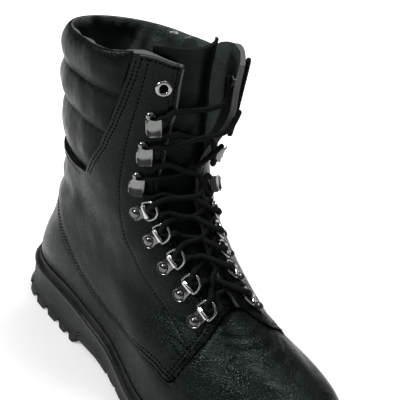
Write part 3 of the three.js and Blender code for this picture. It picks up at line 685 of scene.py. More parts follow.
def treadWall(x):
    # stations from the lip down to the ground: how far out and how high, with one small dent below the lip
    top, under = treadTop(x), soleUnder(x)
    out = 2.6 + 2 * (1 - ease((x - 112) / 16)) + 2.8 * (1 - ease((x - 84) / 8))
    steps = [(sole["lipOut"] - inset + 0 * x, top - below)
             for inset, below in ((1.4, 0), (0.8, 0.5), (0.5, 1.3))]
    for t, dent in ((0.25, 0), (0.3, 0.7), (0.35, 0), (0.6, 0), (0.8, 0), (0.92, 0)):
        far = (sole["lipOut"] - 0.6) * (1 - t) + out * t - dent
        steps.append((far, top - 1 - (top - under - 1.9) * t))
    return steps + [(out - 0.15, under + 0.35), (out - 0.8, under)]


def treadPoints(q, k):
    # one station round the foot, with the side grooves cut in and up
    p, n = surface(q, 0 * q), normalAt(q, 0 * q)
    p = p + n * treadWall(p[:, 0])[k][0][:, None]
    z, ground = treadWall(p[:, 0])[k][1], soleUnder(p[:, 0])
    cut = (1 - lugMask(p[:, 0], np.full(len(q), 99.0))) * ease((ground + 6.5 - z) / 2.5)
    p = p - n * (sole["sideDepth"] * cut)[:, None]
    return np.stack([p[:, 0], p[:, 1], z + (np.maximum(z, ground + sole["lugDepth"]) - z) * cut], axis=1)


def buildTread(name, node, low, high, materials):
    # x stations run along the foot; each is a strip from the outer wall, under the sole, to the inner wall
    s = np.linspace(0, 1, 3001)
    outerX, innerX = surface(s, 0 * s)[:, 0], surface(2 - s, 0 * s)[:, 0]
    t = np.linspace(0, 1, sole["treadStations"][node])
    isFront = node == "outsole"
    if isFront:
        u = 1 - (1 - np.interp(low, outerX, s)) * (1 - t) ** sole["treadSpread"]
    else:
        u = np.interp(high, outerX, s) * t ** sole["treadSpread"]
    # the inner wall is read where it lies across from the outer one
    across = np.where((u > 0) & (u < 1), np.interp(surface(u, 0 * u)[:, 0], innerX, s), u)
    stations = range(len(treadWall(u)))
    outer = np.stack([treadPoints(u, k) for k in stations], axis=1)
    inner = np.stack([treadPoints(2 - across, k) for k in reversed(stations)], axis=1)
    k = np.linspace(0, 1, 46)[None, 1:-1, None]
    under = outer[:, -1:, :] * (1 - k) + inner[:, :1, :] * k
    under[..., 2] = soleUnder(under[..., 0]) + sole["lugDepth"] * (1 - lugMask(under[..., 0], under[..., 1]))
    over = inner[:, -1:, :] * (1 - k[:, ::6]) + outer[:, :1, :] * k[:, ::6]
    strip = np.concatenate([outer, under, inner, over], axis=1)
    strip[..., 0] = np.maximum(strip[..., 0], low + 0.3) if isFront else np.minimum(strip[..., 0], high)
    rows, cols = strip.shape[:2]
    ring = list(range(cols)) if isFront else [rows * cols - 1 - i for i in range(cols)]
    piece = makePiece(name, strip.reshape(-1, 3), gridFaces(rows, cols, closed=True).tolist() + [ring],
                      materials["rubber"], "sole_rubber", [node])
    bm = bmesh.new()
    bm.from_mesh(piece.data)
    bmesh.ops.remove_doubles(bm, verts=bm.verts, dist=1e-6)
    bmesh.ops.recalc_face_normals(bm, faces=bm.faces)
    bm.to_mesh(piece.data)
    bm.free()
    piece.data.set_sharp_from_angle(angle=math.radians(38))
    return piece


# Hardware: clips, D-rings, hooks and eyelets on frames that lie on the leather.
hardware = {
    "clips": [(0.79, 0.354), (0.79, 0.425), (0.775, 0.487), (0.756, 0.546), (0.736, 0.606)],
    "rings": [(0.888, 0.425), (0.885, 0.487), (0.863, 0.537), (0.838, 0.588), (0.812, 0.633)],
    "hooks": [(0.773, 0.679), (0.806, 0.754), (0.831, 0.829)],
    "eyelet": (0.856, 0.921),
    "clipRadius": 5, "barReach": 8.4, "wire": 0.9, "ringHalf": 6.2, "ringReach": 9.8, "ringLift": 0.08,
    "sleeveInner": 1.25, "sleeveOuter": 1.95, "onQuarter": 1.6, "hookHalf": 4.3, "hookFlare": 1.6,
    "hookGap": {-1: (0.3, 0.3, 0.3), 1: (0.3, 0.8, -0.9)},
    # how much painted highlight each piece's colour carries, from 0 to 1; a clip's are its disc, strap and
    # sleeve
    "clipPaintedGlint": (0.1, 0.12, 1), "ringPaintedGlint": 0.35, "hookPaintedGlint": 0.25, "eyeletPaintedGlint": 0.5,
}


def placed(q, v):
    # a place on the last with the flap turned out
    return openFlap(surface(q, v))


def seat(q, v, aim, height):
    # a frame with its first axis towards the throat, its second along the lacing, its third outwards
    at = placed(q, v)
    out = unit(np.cross(placed(q + 0.01, v) - placed(q - 0.01, v), placed(q, v + 0.01) - placed(q, v - 0.01)))
    toward = aim - at
    across = unit(toward - out * (toward @ out))
    along = np.cross(out, across)
    turn = np.stack([across, along, out], axis=1)
    return turn, at + out * height


def inFrame(points, place):
    # points turned and moved into a frame
    turn, origin = place
    return points @ turn.T + origin


def lathe(profile, segments, axis=2, shift=(0, 0, 0)):
    # a closed profile of radius and height carried round an axis
    profile = np.asarray(profile, float)
    angle = np.linspace(0, 2 * np.pi, segments, endpoint=False)[:, None]
    ring = np.stack([profile[:, 0] * np.cos(angle), profile[:, 0] * np.sin(angle),
                     profile[:, 1] + 0 * angle], axis=-1)
    if axis == 1:
        ring = ring[..., [0, 2, 1]] * np.array([1, 1, -1])
    points = ring.transpose(1, 0, 2).reshape(-1, 3) + np.array(shift)
    rows = len(profile)
    faces = gridFaces(rows + 1, segments, closed=True) % (rows * segments)
    return points, faces[:, ::-1]


def slab(outline, low, high):
    # a flat outline between two heights, with its rim drawn in a little
    outline = np.asarray(outline, float)
    middle = outline.mean(0)
    layers = [np.column_stack([middle + (outline - middle) * share, np.full(len(outline), z)])
              for share, z in ((0.94, low), (1, low + 0.15), (1, high - 0.2), (0.94, high),
                               (0, low), (0, high))]
    m = len(outline)
    i = np.arange(m)
    # the two last layers are points in the middle of each face
    faces = gridFaces(4, m, closed=True).tolist()
    faces += np.stack([(i + 1) % m, i, 0 * i + 4 * m], axis=1).tolist()
    faces += np.stack([3 * m + i, 3 * m + (i + 1) % m, 0 * i + 4 * m + 1], axis=1).tolist()
    return np.concatenate(layers[:4] + [layers[4][:1], layers[5][:1]]), faces


def clipShape():
    # a rivet's dome on its disc, a strap to the ring and the rolled sleeve; then how much painted highlight
    # each carries
    r, reach = hardware["clipRadius"], hardware["barReach"]
    a, b = hardware["sleeveInner"], hardware["sleeveOuter"]
    disc = lathe([(0.01, 0.05), (r - 0.2, 0.05), (r, 0.25), (r, 0.6), (r - 0.3, 0.85), (r - 0.7, 0.62),
                  (3.85, 0.6), (3.6, 0.85), (3.45, 1.4), (3.0, 2.05), (2.2, 2.6), (1.1, 2.95),
                  (0.01, 3.05)], 36)
    edge = [(0, -4.5), (3, -4.35), (5.5, -4.3), (reach - 0.6, -4.35), (reach, -4.35)]
    strap = slab(edge + [(x, -y) for x, y in edge[::-1]], 0.15, 0.95)
    sleeve = lathe([(a, -4.4), (a + 0.25, -4.55), (b - 0.15, -4.5), (b, -4.3), (b, 4.3), (b - 0.15, 4.5),
                    (a + 0.25, 4.55), (a, 4.4)], 20, axis=1, shift=(reach, 0, b))
    parts = [disc, strap, sleeve]
    return joinShapes(parts), np.repeat(hardware["clipPaintedGlint"], [len(points) for points, _ in parts])


def tubeAround(path, radius, turns, closed, normal=(0, 0, 1)):
    # a round section carried along a path; radius may change round and along it
    path = np.asarray(path, float)
    if closed:
        along = unit(np.roll(path, -1, axis=0) - np.roll(path, 1, axis=0))
    else:
        along = unit(np.gradient(path, axis=0))
    side = unit(np.cross(along, np.asarray(normal, float)))
    up = np.cross(side, along)
    angle = np.linspace(0, 2 * np.pi, turns, endpoint=False)
    r = np.broadcast_to(np.asarray(radius, float), (len(path), turns))[..., None]
    ring = (path[:, None, :] + r * (side[:, None, :] * np.cos(angle)[None, :, None]
                                    + up[:, None, :] * np.sin(angle)[None, :, None]))
    rows = len(path)
    if closed:
        return ring.reshape(-1, 3), (gridFaces(rows + 1, turns, closed=True) % (rows * turns)).tolist()
    faces = gridFaces(rows, turns, closed=True).tolist()
    faces.append(list(range(turns))[::-1])
    faces.append([(rows - 1) * turns + i for i in range(turns)])
    return ring.reshape(-1, 3), faces


def roundPath(points, count, closed=False):
    # a Catmull-Rom curve through the points, evenly spaced by length
    p = np.asarray(points, float)
    n = len(p)
    fine = []
    for i in range(n if closed else n - 1):
        a, b, c, d = (p[(i - 1) % n] if closed or i else 2 * p[0] - p[1], p[i], p[(i + 1) % n],
                      p[(i + 2) % n] if closed or i + 2 < n else 2 * p[-1] - p[-2])
        t = np.linspace(0, 1, 16, endpoint=False)[:, None]
        fine.append(catmullRom(a, b, c, d, t))
    fine.append(p[:1] if closed else p[-1:])
    fine = np.concatenate(fine)
    length = np.concatenate([[0], np.cumsum(np.linalg.norm(np.diff(fine, axis=0), axis=1))])
    at = np.linspace(0, length[-1], count, endpoint=not closed)
    return np.stack([np.interp(at, length, fine[:, k]) for k in range(3)], axis=1), length[-1]


def ringShape():
    # wire along half a bar, round the bow and back
    half, reach = hardware["ringHalf"], hardware["ringReach"]
    bow = [(0.83, 0), (1, 0.12), (1, 0.36), (0.87, 0.7), (0.52, 0.93)]
    points = ([(0, 0, 0)] + [(b * reach, a * half, 0) for a, b in bow] + [(reach, 0, 0)]
              + [(b * reach, -a * half, 0) for a, b in bow[::-1]])
    path, _ = roundPath(points, 84, closed=True)
    return tubeAround(path, hardware["wire"] + 0.05, 12, True)


def hookShape():
    # a strip carried from the foot round the curl and back over the lace; it widens and flares at its lip
    centre = [(-4.4, 0.45), (-2, 0.45), (1, 0.45), (3.6, 0.45), (5.2, 0.95), (6.1, 2.2), (6.15, 3.9),
              (5.3, 5.5), (3.6, 6.3), (1.2, 6.4), (-1.2, 6.35), (-2.8, 6.6), (-3.9, 7.3)]
    path, _ = roundPath([(x, 0, z) for x, z in centre], 46)
    t = np.linspace(0, 1, 46)[:, None]
    half = hardware["hookHalf"] + hardware["hookFlare"] * ease((t - 0.45) / 0.2)
    half = half - 0.5 * bell((t - 0.74) / 0.09)
    half = half * np.sqrt(np.clip(1 - ((0.05 - t) / 0.05).clip(0, 1) ** 2 * 0.5, 0, 1))
    half = half * np.sqrt(1 - 0.6 * ((t - 0.84) / 0.16).clip(0, 1) ** 2)
    s = np.linspace(-1, 1, 25)[None, :]
    along = np.gradient(path, axis=0)
    out = unit(np.stack([-along[:, 2], 0 * along[:, 0], along[:, 0]], axis=1))
    flare = (0.3 * np.abs(s) ** 6 - 1.0 * s ** 2) * ease((t - 0.5) / 0.2)
    middle = path[:, None, :] + np.stack([0 * t * s, half * s, 0 * t * s], axis=-1)
    front = middle + out[:, None, :] * (0.45 + flare)[..., None]
    back = middle + out[:, None, :] * (-0.45 + flare)[..., None]
    dome = lathe([(0.01, 0), (3.3, 0), (3.3, 0.5), (2.9, 1.3), (2.0, 1.95), (1.0, 2.25), (0.01, 2.35)], 28,
                 shift=(-1.0, 6.0, -0.2))
    return joinShapes([closedSheet(front, back), dome])


def eyeletShape():
    # a barrel with a flange inside and a rolled rim outside
    return lathe([(2.8, -3.9), (5, -3.9), (5, -3.4), (4.6, -3.15), (3.3, -3.1), (3.3, 1.9), (5.1, 1.9),
                  (5.4, 2.2), (5.15, 2.65), (4.4, 3.05), (3.5, 3.05), (3, 2.75), (2.8, 2.3)], 36)


seats = {"ring": {}, "hook": {}, "eyelet": {}}    # frames that the lace is led through, by side and number


def addFitting(node, ending, shape, place, paintedGlint, materials, sharp=None):
    # a metal piece moved into its frame, in place of its solid, with its share of painted highlight
    points, faces = shape
    makePiece(f"{node}_{ending}", inFrame(points, place), faces, materials["nickel"], "dark_nickel", [node],
              {"paintedGlint": paintedGlint}, sharp=sharp)


def buildHardware(materials):
    # clips aim at their rings, hooks and eyelets at the throat; a ring is turned up about its clip's sleeve
    lift, bar = hardware["ringLift"], np.array([hardware["barReach"], 0, hardware["sleeveOuter"]])
    raised = np.array([[math.cos(lift), 0, -math.sin(lift)], [0, 1, 0], [math.sin(lift), 0, math.cos(lift)]])
    for name, side in (("outer", -1), ("inner", 1)):
        for i, ((u, v), (ringU, ringV)) in enumerate(zip(hardware["clips"], hardware["rings"])):
            aim = placed(sideQ(ringU, ringV, side), innerV(ringV, side))
            turn, origin = seat(sideQ(u, v, side), innerV(v, side), aim, hardware["onQuarter"])
            seats["ring"][side, i] = (turn @ raised, origin + turn @ bar)
            shape, paintedGlint = clipShape()
            addFitting(f"clip_{name}_{i + 1}", "plate", shape, (turn, origin), paintedGlint, materials, sharp=42)
            addFitting(f"ring_{name}_{i + 1}", "wire", ringShape(), seats["ring"][side, i],
                       hardware["ringPaintedGlint"], materials)
        for i, (u, v) in enumerate(hardware["hooks"]):
            aim = placed(sideQ(0.918, v, side), v + 0.01)
            seats["hook"][side, i] = seat(sideQ(u, v, side), innerV(v, side), aim,
                                          hardware["onQuarter"] + hardware["hookGap"][side][i])
            addFitting(f"hook_{name}_{i + 1}", "plate", hookShape(), seats["hook"][side, i],
                       hardware["hookPaintedGlint"], materials, sharp=50)
        u, v = hardware["eyelet"]
        seats["eyelet"][side] = seat(sideQ(u, v, side), v, placed(1, v), 0)
        addFitting(f"eyelet_{name}", "flange", eyeletShape(), seats["eyelet"][side],
                   hardware["eyeletPaintedGlint"], materials, sharp=50)


# Lace: one round braid from the inner eyelet down through hooks and rings, over the bar and up again.
lace = {
    "ends": [(0.902, 0.436, 5), (0.898, 0.5, 5), (0.875, 0.553, 5), (0.862, 0.606, 5), (0.844, 0.652, 5),
             (0.83, 0.69, 5), (0.86, 0.765, 5.5), (0.88, 0.838, 5.5)],
    "radius": 1.8, "strand": (0.80, 0.30), "twist": 7, "step": 0.6, "turns": 16, "sag": 2.6,
    # frames' points: through a ring, round a hook, and to the inner eyelet from behind and from outside
    "ringPath": [(12.5, -4.6, -0.6), (9.6, -3.4, -1.5), (5.4, -1.2, 0.1), (5.2, 1.6, 1.7), (9.4, 3.2, 3.1),
                 (12.5, 4.4, 2.6)],
    "hookPath": [(11.0, -6.4, 2.4), (5.6, -5.2, 3.1), (2.9, -2.7, 3.4), (2.3, 0.0, 3.4), (2.9, 2.7, 3.4),
                 (5.6, 5.2, 3.1), (11.0, 6.4, 2.4)],
    "behindEyelet": [(2.0, -3.0, -7.0), (0, 0, -5.6)],
    "overEyelet": [(1.5, -16.0, 4.2), (0.8, -8.0, 3.6), (0.3, -3.0, 4.4), (0, 0, 3.2), (0, 0, 0)],
    # ring places and heights from the outer top hook over the tongue and under the inner flap
    "underFlap": [(0.9, 0.868, 3.0), (0.95, 0.868, -0.4), (1.0, 0.867, -1.5), (1.045, 0.87, -3.6),
                  (1.085, 0.885, -5.8)],
}


def laceEnd(level, side):
    # the ring place and height where the lace leaves a ring or hook
    u, v, rise = lace["ends"][level]
    return np.array([float(sideQ(u, v, side)), float(innerV(v, side)), rise])


def lacePoint(q, v, rise):
    # a place above the skin, moved with the flap on the inner side
    base = surface(q, v) + normalAt(q, v) * rise
    shift = openFlap(base) - base
    return base + shift * ease((q - 1) / 0.1)


def laceCrossing(level, side, lift):
    # from an anchor up to the next one on the other side, over the tongue
    start = laceEnd(level, side) + np.array([0, 0.014, 0])
    end = laceEnd(level + 1, -side) - np.array([0, 0.014, 0])
    out = []
    for t in (0.2, 0.5, 0.8):
        q, v, rise = start + (end - start) * t
        out.append(lacePoint(q, v, rise + (lift - lace["sag"]) * math.sin(math.pi * t)))
    return out


def framed(path, place):
    # one of the lace's paths, moved into a frame
    return list(inFrame(np.array(lace[path]), place))


def laceSide(side):
    # half of the lace, from the bar upwards, changing side at each crossing
    points, at, rings = [], side, len(hardware["rings"])
    for level in range(8):
        if level < rings:
            points += framed("ringPath", seats["ring"][at, level])
        else:
            points += framed("hookPath", seats["hook"][at, level - rings])
        if level < 7:
            points += laceCrossing(level, at, 1.5 if side < 0 else -1.3)
            at = -at
    return points, at


def buildLace(materials):
    # a round bar whose radius swells where two families of strands cross
    first, endA = laceSide(-1)
    second, endB = laceSide(1)
    start, end = laceEnd(0, -1), laceEnd(0, 1)
    bar = [lacePoint(*(start + (end - start) * t + np.array([0, -0.004, -1.6 - math.sin(math.pi * t)])))
           for t in (0.3, 0.5, 0.7)]
    eyelet = seats["eyelet"][1]
    tails = {-1: [lacePoint(*at) for at in lace["underFlap"]] + framed("behindEyelet", eyelet),
             1: framed("overEyelet", eyelet)}
    points = tails[endA][::-1] + first[::-1] + bar + second + tails[endB]
    _, length = roundPath(points, 400)
    count = int(length / lace["step"])
    path, length = roundPath(points, count)
    path = smoothLine(path, 2)
    run = np.linspace(0, length, count)[:, None] * 2 * np.pi / lace["twist"]
    angle = np.linspace(0, 2 * np.pi, lace["turns"], endpoint=False)[None, :]
    over = np.maximum(np.abs(np.sin(2 * angle + run)), np.abs(np.sin(2 * angle - run)))
    core, swell = lace["strand"]
    radius = lace["radius"] * (core + swell * over)
    shape = tubeAround(path, radius, lace["turns"], False, normal=(0.6, -0.1, 0.79))
    strands = ["lace_bar"] + [f"lace_cross_{k}" for k in range(1, 8)]
    print("lace length in m:", round(length * toMetres, 3))
    return makePiece("lace_braid", *shape, materials["cord"], "lace", strands)


# Stitches: short thread grains along the seams, laid on the finished skin.
stitching = {
    "pitch": 2.9, "length": 2.3, "width": 0.70, "height": 0.40, "sink": 0.14,
    "foxingRows": (2.2, 4.8), "collarRows": (0.014, 0.03), "heelRows": (0.045, 0.06),
    "frontEdge": [(213, 56), (213.8, 66), (213.8, 77), (212.5, 88), (210, 96)],
    "tack": [(0.687, 0.191), (0.668, 0.207), (0.650, 0.226), (0.653, 0.243), (0.672, 0.25), (0.69, 0.241),
             (0.708, 0.231)],
    "foldRadius": 0.8, "rawRadius": (1.0, 0.95),
}


def nearestPlaces(points, view, q, v):
    # for each point the ring place whose view lies nearest to it
    places = []
    for a, b in points:
        k = int(np.argmin((view[..., 0] - a) ** 2 + (view[..., 1] - b) ** 2))
        places.append((q[k % view.shape[1]], v[k // view.shape[1]]))
    return np.array(places)


def onView(points, lean, side):
    # an outline in the side view, laid on one side of the boot
    cols = slice(0, tableU, 2) if side < 0 else slice(tableU - 1, None, 2)
    view = viewOf(lastTable[::2, cols], lean)
    return smoothLine(nearestPlaces(points, view, np.linspace(0, 2, tableQ + 1)[cols],
                                    np.linspace(0, 1, tableV)[::2]))


def onTop(points):
    # an outline seen from above, laid on the vamp
    rows, cols = slice(tableV // 20, tableV * 9 // 20, 2), slice(int(0.7 * tableU), int(1.75 * tableU), 2)
    return smoothLine(nearestPlaces(points, lastTable[rows, cols, :2], np.linspace(0, 2, tableQ + 1)[cols],
                                    np.linspace(0, 1, tableV)[rows]), 6)


def offsetLine(line, far):
    # a line moved sideways to its left
    line = np.asarray(line, float)
    along = unit(np.gradient(line, axis=0))
    return line + np.stack([-along[:, 1], along[:, 0]], axis=1) * far


def seamPaths():
    # every seam as a line of ring places
    paths = []
    innerFoxing = densify(upper["innerQuarter"][1:13], 150)
    outlines = [(densify(upper["outerQuarter"][1:16], 150), upper["quarterLean"], -1),
                (innerFoxing[innerFoxing[:, 0] < 212], 0, 1),
                (densify(stitching["frontEdge"], 40), upper["quarterLean"], -1)]
    for far in stitching["foxingRows"]:
        paths += [onView(offsetLine(line, far), lean, side) for line, lean, side in outlines]
    flapEdge = upper["throatEdge"][-1][1]
    throatV, collarV = np.linspace(0.4, 0.985, 90), np.linspace(0.625, 0.985, 70)
    backU, topU = np.linspace(0.0, 0.4, 60), np.linspace(flapEdge - 0.16, flapEdge - 0.01, 24)
    for side in (-1, 1):
        paths.append(onSide(*densify(upper["eyestaySeam"], 90).T, side))
        paths.append(onSide(lookUp(upper["throatEdge"], throatV) - 0.017, throatV, side))
        edges = [(lookUp(upper["collarEdge"], collarV) + far, collarV) for far in stitching["collarRows"]]
        for u, v in edges + [(backU, 0 * backU + 0.586), (topU, 0 * topU + 0.985)]:
            paths.append(np.stack([u if side < 0 else 2 - u, v], axis=1))
        paths.append(onSide(*densify(stitching["tack"], 40).T, side))
    v = np.linspace(0.05, 0.33, 50)
    for u in stitching["heelRows"]:
        paths += [np.stack([0 * v + q, v], axis=1) for q in (u, 2 - u)]
    return paths


def grain():
    # one stitch: six rings of a bar along x, whose radius falls off with the fourth power towards its ends
    t = np.linspace(-1, 1, 6)
    angle = np.linspace(0, 2 * np.pi, 6, endpoint=False)
    r = np.sqrt(np.clip(1 - 0.9 * np.abs(t) ** 4, 0.08, 1))
    points = np.stack([np.repeat(t, 6) * 0.5, np.outer(r, np.cos(angle)).ravel(),
                       np.outer(r, np.sin(angle)).ravel()], axis=1)
    faces = gridFaces(6, 6, closed=True)[:, ::-1]
    return points, faces


def edgeLines(materials):
    # the quarters' folded edges, near black as painted shade along the step, and the pale raw edge of each
    # flap
    radius = stitching["foldRadius"]
    outer = onView(offsetLine(densify(upper["outerQuarter"][1:21], 260), -0.5), upper["quarterLean"], -1)
    inner = onView(offsetLine(densify(upper["innerQuarter"][1:12], 260), -0.5), 0, 1)
    folded = [tubeOnSkin(smoothLine(line, 4), radius, -0.1) for line in (outer, inner[inner[:, 0] > 1.32])]
    folded.append(tubeOnSkin(onTop(densify(upper["innerFront"][1:8], 120)), radius, -0.1))
    upright, level = stitching["rawRadius"]
    raw = []
    for side in (-1, 1):
        v = np.linspace(0.7, 0.99, 80)
        raw.append(tubeOnSkin(onSide(lookUp(upper["throatEdge"], v) - 0.002, v, side), upright, -0.75))
        u = np.linspace(upper["throatEdge"][-1][1] - 0.16, upper["throatEdge"][-1][1] - 0.004, 50)
        raw.append(tubeOnSkin(np.stack([sideQ(u, 1 + 0 * u, side), 0.996 + 0 * u], axis=1), level, -0.8))
    # a near-black disc in the empty outer eyelet's bore, painted shade in the hole
    points, faces = lathe([(0.01, 1.2), (2.9, 1.2), (2.9, 2.0), (0.01, 2.0)], 24)
    folded.append((inFrame(points, seats["eyelet"][-1]), faces))
    # folded edges and eyelet bore in the near-black thread colour, as painted shade
    makePiece("shaded_quarter_edges", *joinShapes(folded), materials["threadAndShade"], "leather")
    makePiece("flap_edges", *joinShapes(raw), materials["cutEdge"], "leather")


def tubeOnSkin(line, radius, lift):
    # a round bar along a line of ring places, lifted off the skin
    path, _ = roundPath(outerSkin(line[:, 0], line[:, 1], lift), len(line))
    return tubeAround(path, radius, 10, False, normal=normalAt(line[:, 0], line[:, 1]).mean(0))


def buildStitches(materials):
    # grains one pitch apart by length along each seam, turned with the seam and the skin
    origins, frames = [], []
    for path in seamPaths():
        skin = outerSkin(path[:, 0], path[:, 1])
        length = np.concatenate([[0], np.cumsum(np.linalg.norm(np.diff(skin, axis=0), axis=1))])
        at = np.arange(stitching["pitch"] / 2, length[-1], stitching["pitch"])
        q, v = np.interp(at, length, path[:, 0]), np.interp(at, length, path[:, 1])
        p = outerSkin(q, v)
        ahead = np.stack([np.interp(at + 0.8, length, skin[:, k]) - np.interp(at - 0.8, length, skin[:, k])
                          for k in range(3)], axis=1)
        out = unit(np.cross(outerSkin(q + 0.004, v) - outerSkin(q - 0.004, v),
                            outerSkin(q, v + 0.004) - outerSkin(q, v - 0.004)))
        along = unit(ahead - out * (ahead * out).sum(1, keepdims=True))
        origins.append(p - out * stitching["sink"])
        frames.append(np.stack([along, np.cross(out, along), out], axis=1))
    origins, frames = np.concatenate(origins), np.concatenate(frames)
    points, faces = grain()
    points = points * np.array([stitching["length"], stitching["width"], stitching["height"]])
    placedPoints = np.einsum("pi,nij->npj", points, frames) + origins[:, None, :]
    n, m = len(origins), len(points)
    allFaces = (faces[None] + (np.arange(n) * m)[:, None, None]).reshape(-1, 4).tolist()
    ends = (np.arange(n) * m)[:, None]
    allFaces += (ends + np.arange(6)[None, :]).tolist()
    allFaces += (ends + np.arange(m - 1, m - 7, -1)[None, :]).tolist()
    print("stitches:", n)
    return makePiece("seam_stitches", placedPoints.reshape(-1, 3), allFaces, materials["threadAndShade"], "leather")

# Finishes. Grain, wear and dust are node groups that each material sets in its own way.
# Colours are linear; rough is a range; grain is a pattern's scale; depth is a bump's in metres.
finishes = {
    "leather": {"color": (0.0012, 0.0021, 0.0019, 1), "rough": (0.24, 0.37), "grain": 560, "bump": 0.36,
                "depth": 0.00032, "gloss": 0.015, "shine": 0.11},
    "softLeather": {"color": (0.0010, 0.0018, 0.0017, 1), "rough": (0.24, 0.36), "grain": 760, "bump": 0.22,
                    "depth": 0.00032, "gloss": 0.01, "shine": 0.075},
    "liningLeather": {"color": (0.022, 0.027, 0.026, 1), "rough": (0.24, 0.4), "grain": 700, "bump": 0.5,
                      "depth": 0.00032, "gloss": 0.3, "shine": 0.12},
    # the rubber's channel colour is painted shade and its lip colour a painted highlight
    "rubber": {"color": (0.0065, 0.0082, 0.0078, 1), "rough": (0.52, 0.72), "grain": 1400, "bump": 0.16,
               "depth": 0.0003, "shine": 0.25, "channel": (0.004, 0.0045, 0.0045, 1),
               "lip": (0.045, 0.049, 0.048, 1)},
    # nickel's bright colour is a painted highlight, mixed in by each piece's mask
    "nickel": {"color": (0.10, 0.103, 0.10, 1), "plain": (0.05, 0.052, 0.052, 1),
               "paintedGlint": (0.50, 0.51, 0.49, 1), "rough": (0.10, 0.26), "grain": 900,
               "bump": 0.04, "depth": 0.0002, "shine": 0.5},
    "cord": {"color": (0.0010, 0.0014, 0.0013, 1), "pale": (0.0032, 0.00448, 0.00416, 1), "rough": (0.6, 0.8),
             "grain": 1800, "detail": 3, "fuzz": 0.7, "bump": 0.25, "depth": 0.0003, "shine": 0.08},
    # the thread colour is also used as painted shade on the quarters' edges and in the eyelet's bore
    "threadAndShade": {"color": (0.0005, 0.0006, 0.0006, 1), "pale": (0.0016, 0.0018, 0.0017, 1),
               "rough": (0.7, 0.85), "grain": 2500, "detail": 2, "fuzz": 0.5,
               "bump": 0, "depth": 0, "shine": 0.01},
    "cutEdge": {"color": (0.03, 0.033, 0.032, 1), "pale": (0.10, 0.105, 0.10, 1), "rough": (0.7, 0.9),
                "grain": 1600, "detail": 4, "fuzz": 0.7, "bump": 0.3, "depth": 0.0002, "shine": 0.5},
    "floor": {"color": (0.70, 0.705, 0.70, 1), "pale": (0.73, 0.73, 0.725, 1), "rough": 0.9,
              "glow": (0.3, 0.75), "glowReach": (0.18, 0.9)},    # a lit table, lit more where the lamps fade
    "dust": {"leather": (0.13, 0.135, 0.13, 1), "rubber": (0.16, 0.16, 0.155, 1),
             "onLeather": 0.05, "onRubber": 0.22},
    "tint": (0.80, 1.0, 0.96, 1), "coatRough": 0.2,
}


def addNode(tree, kind, **settings):
    # a node whose sockets and properties are set by name
    node = tree.nodes.new(kind)
    for key, value in settings.items():
        if key in node.inputs:
            node.inputs[key].default_value = value
        else:
            setattr(node, key, value)
    return node


def plug(tree, socket, value):
    # another node's output is linked, a number or colour is set
    if isinstance(value, bpy.types.NodeSocket):
        tree.links.new(value, socket)
    else:
        socket.default_value = value


def noiseOf(tree, place, scale, detail=2, rough=0.5, output="Fac", distortion=0):
    # a noise texture at a place
    node = addNode(tree, "ShaderNodeTexNoise", Scale=scale, Detail=detail, Roughness=rough,
                   Distortion=distortion)
    tree.links.new(place, node.inputs["Vector"])
    return node.outputs[output]


def mathOf(tree, operation, *terms):
    # one operation on up to three numbers or outputs
    node = addNode(tree, "ShaderNodeMath", operation=operation)
    for socket, term in zip(node.inputs, terms):
        plug(tree, socket, term)
    return node.outputs[0]


def mixColor(tree, mask, first, second):
    # the first colour where the mask is 0, the second where it is 1
    node = addNode(tree, "ShaderNodeMix", data_type="RGBA")
    for k, value in ((0, mask), (6, first), (7, second)):
        plug(tree, node.inputs[k], value)
    return node.outputs[2]


def rangeOf(tree, value, low, high, outLow, outHigh, kind="LINEAR"):
    # a value moved from one range to another and held inside it
    node = addNode(tree, "ShaderNodeMapRange", interpolation_type=kind)
    for key, number in (("From Min", low), ("From Max", high), ("To Min", outLow), ("To Max", outHigh)):
        node.inputs[key].default_value = number
    tree.links.new(value, node.inputs["Value"])
    return node.outputs["Result"]


def attribute(tree, name):
    # a number kept on the mesh, or 0 where there is none
    return addNode(tree, "ShaderNodeAttribute", attribute_name=name).outputs["Fac"]


def newGroup(name, inputs, outputs):
    # an empty node group, and the sockets at its two ends
    tree = bpy.data.node_groups.new(name, "ShaderNodeTree")
    for way, names in (("INPUT", inputs), ("OUTPUT", outputs)):
        for socket in names:
            kind = "NodeSocketVector" if socket == "Place" else "NodeSocketFloat"
            tree.interface.new_socket(socket, in_out=way, socket_type=kind)
    return tree, addNode(tree, "NodeGroupInput").outputs, addNode(tree, "NodeGroupOutput").inputs


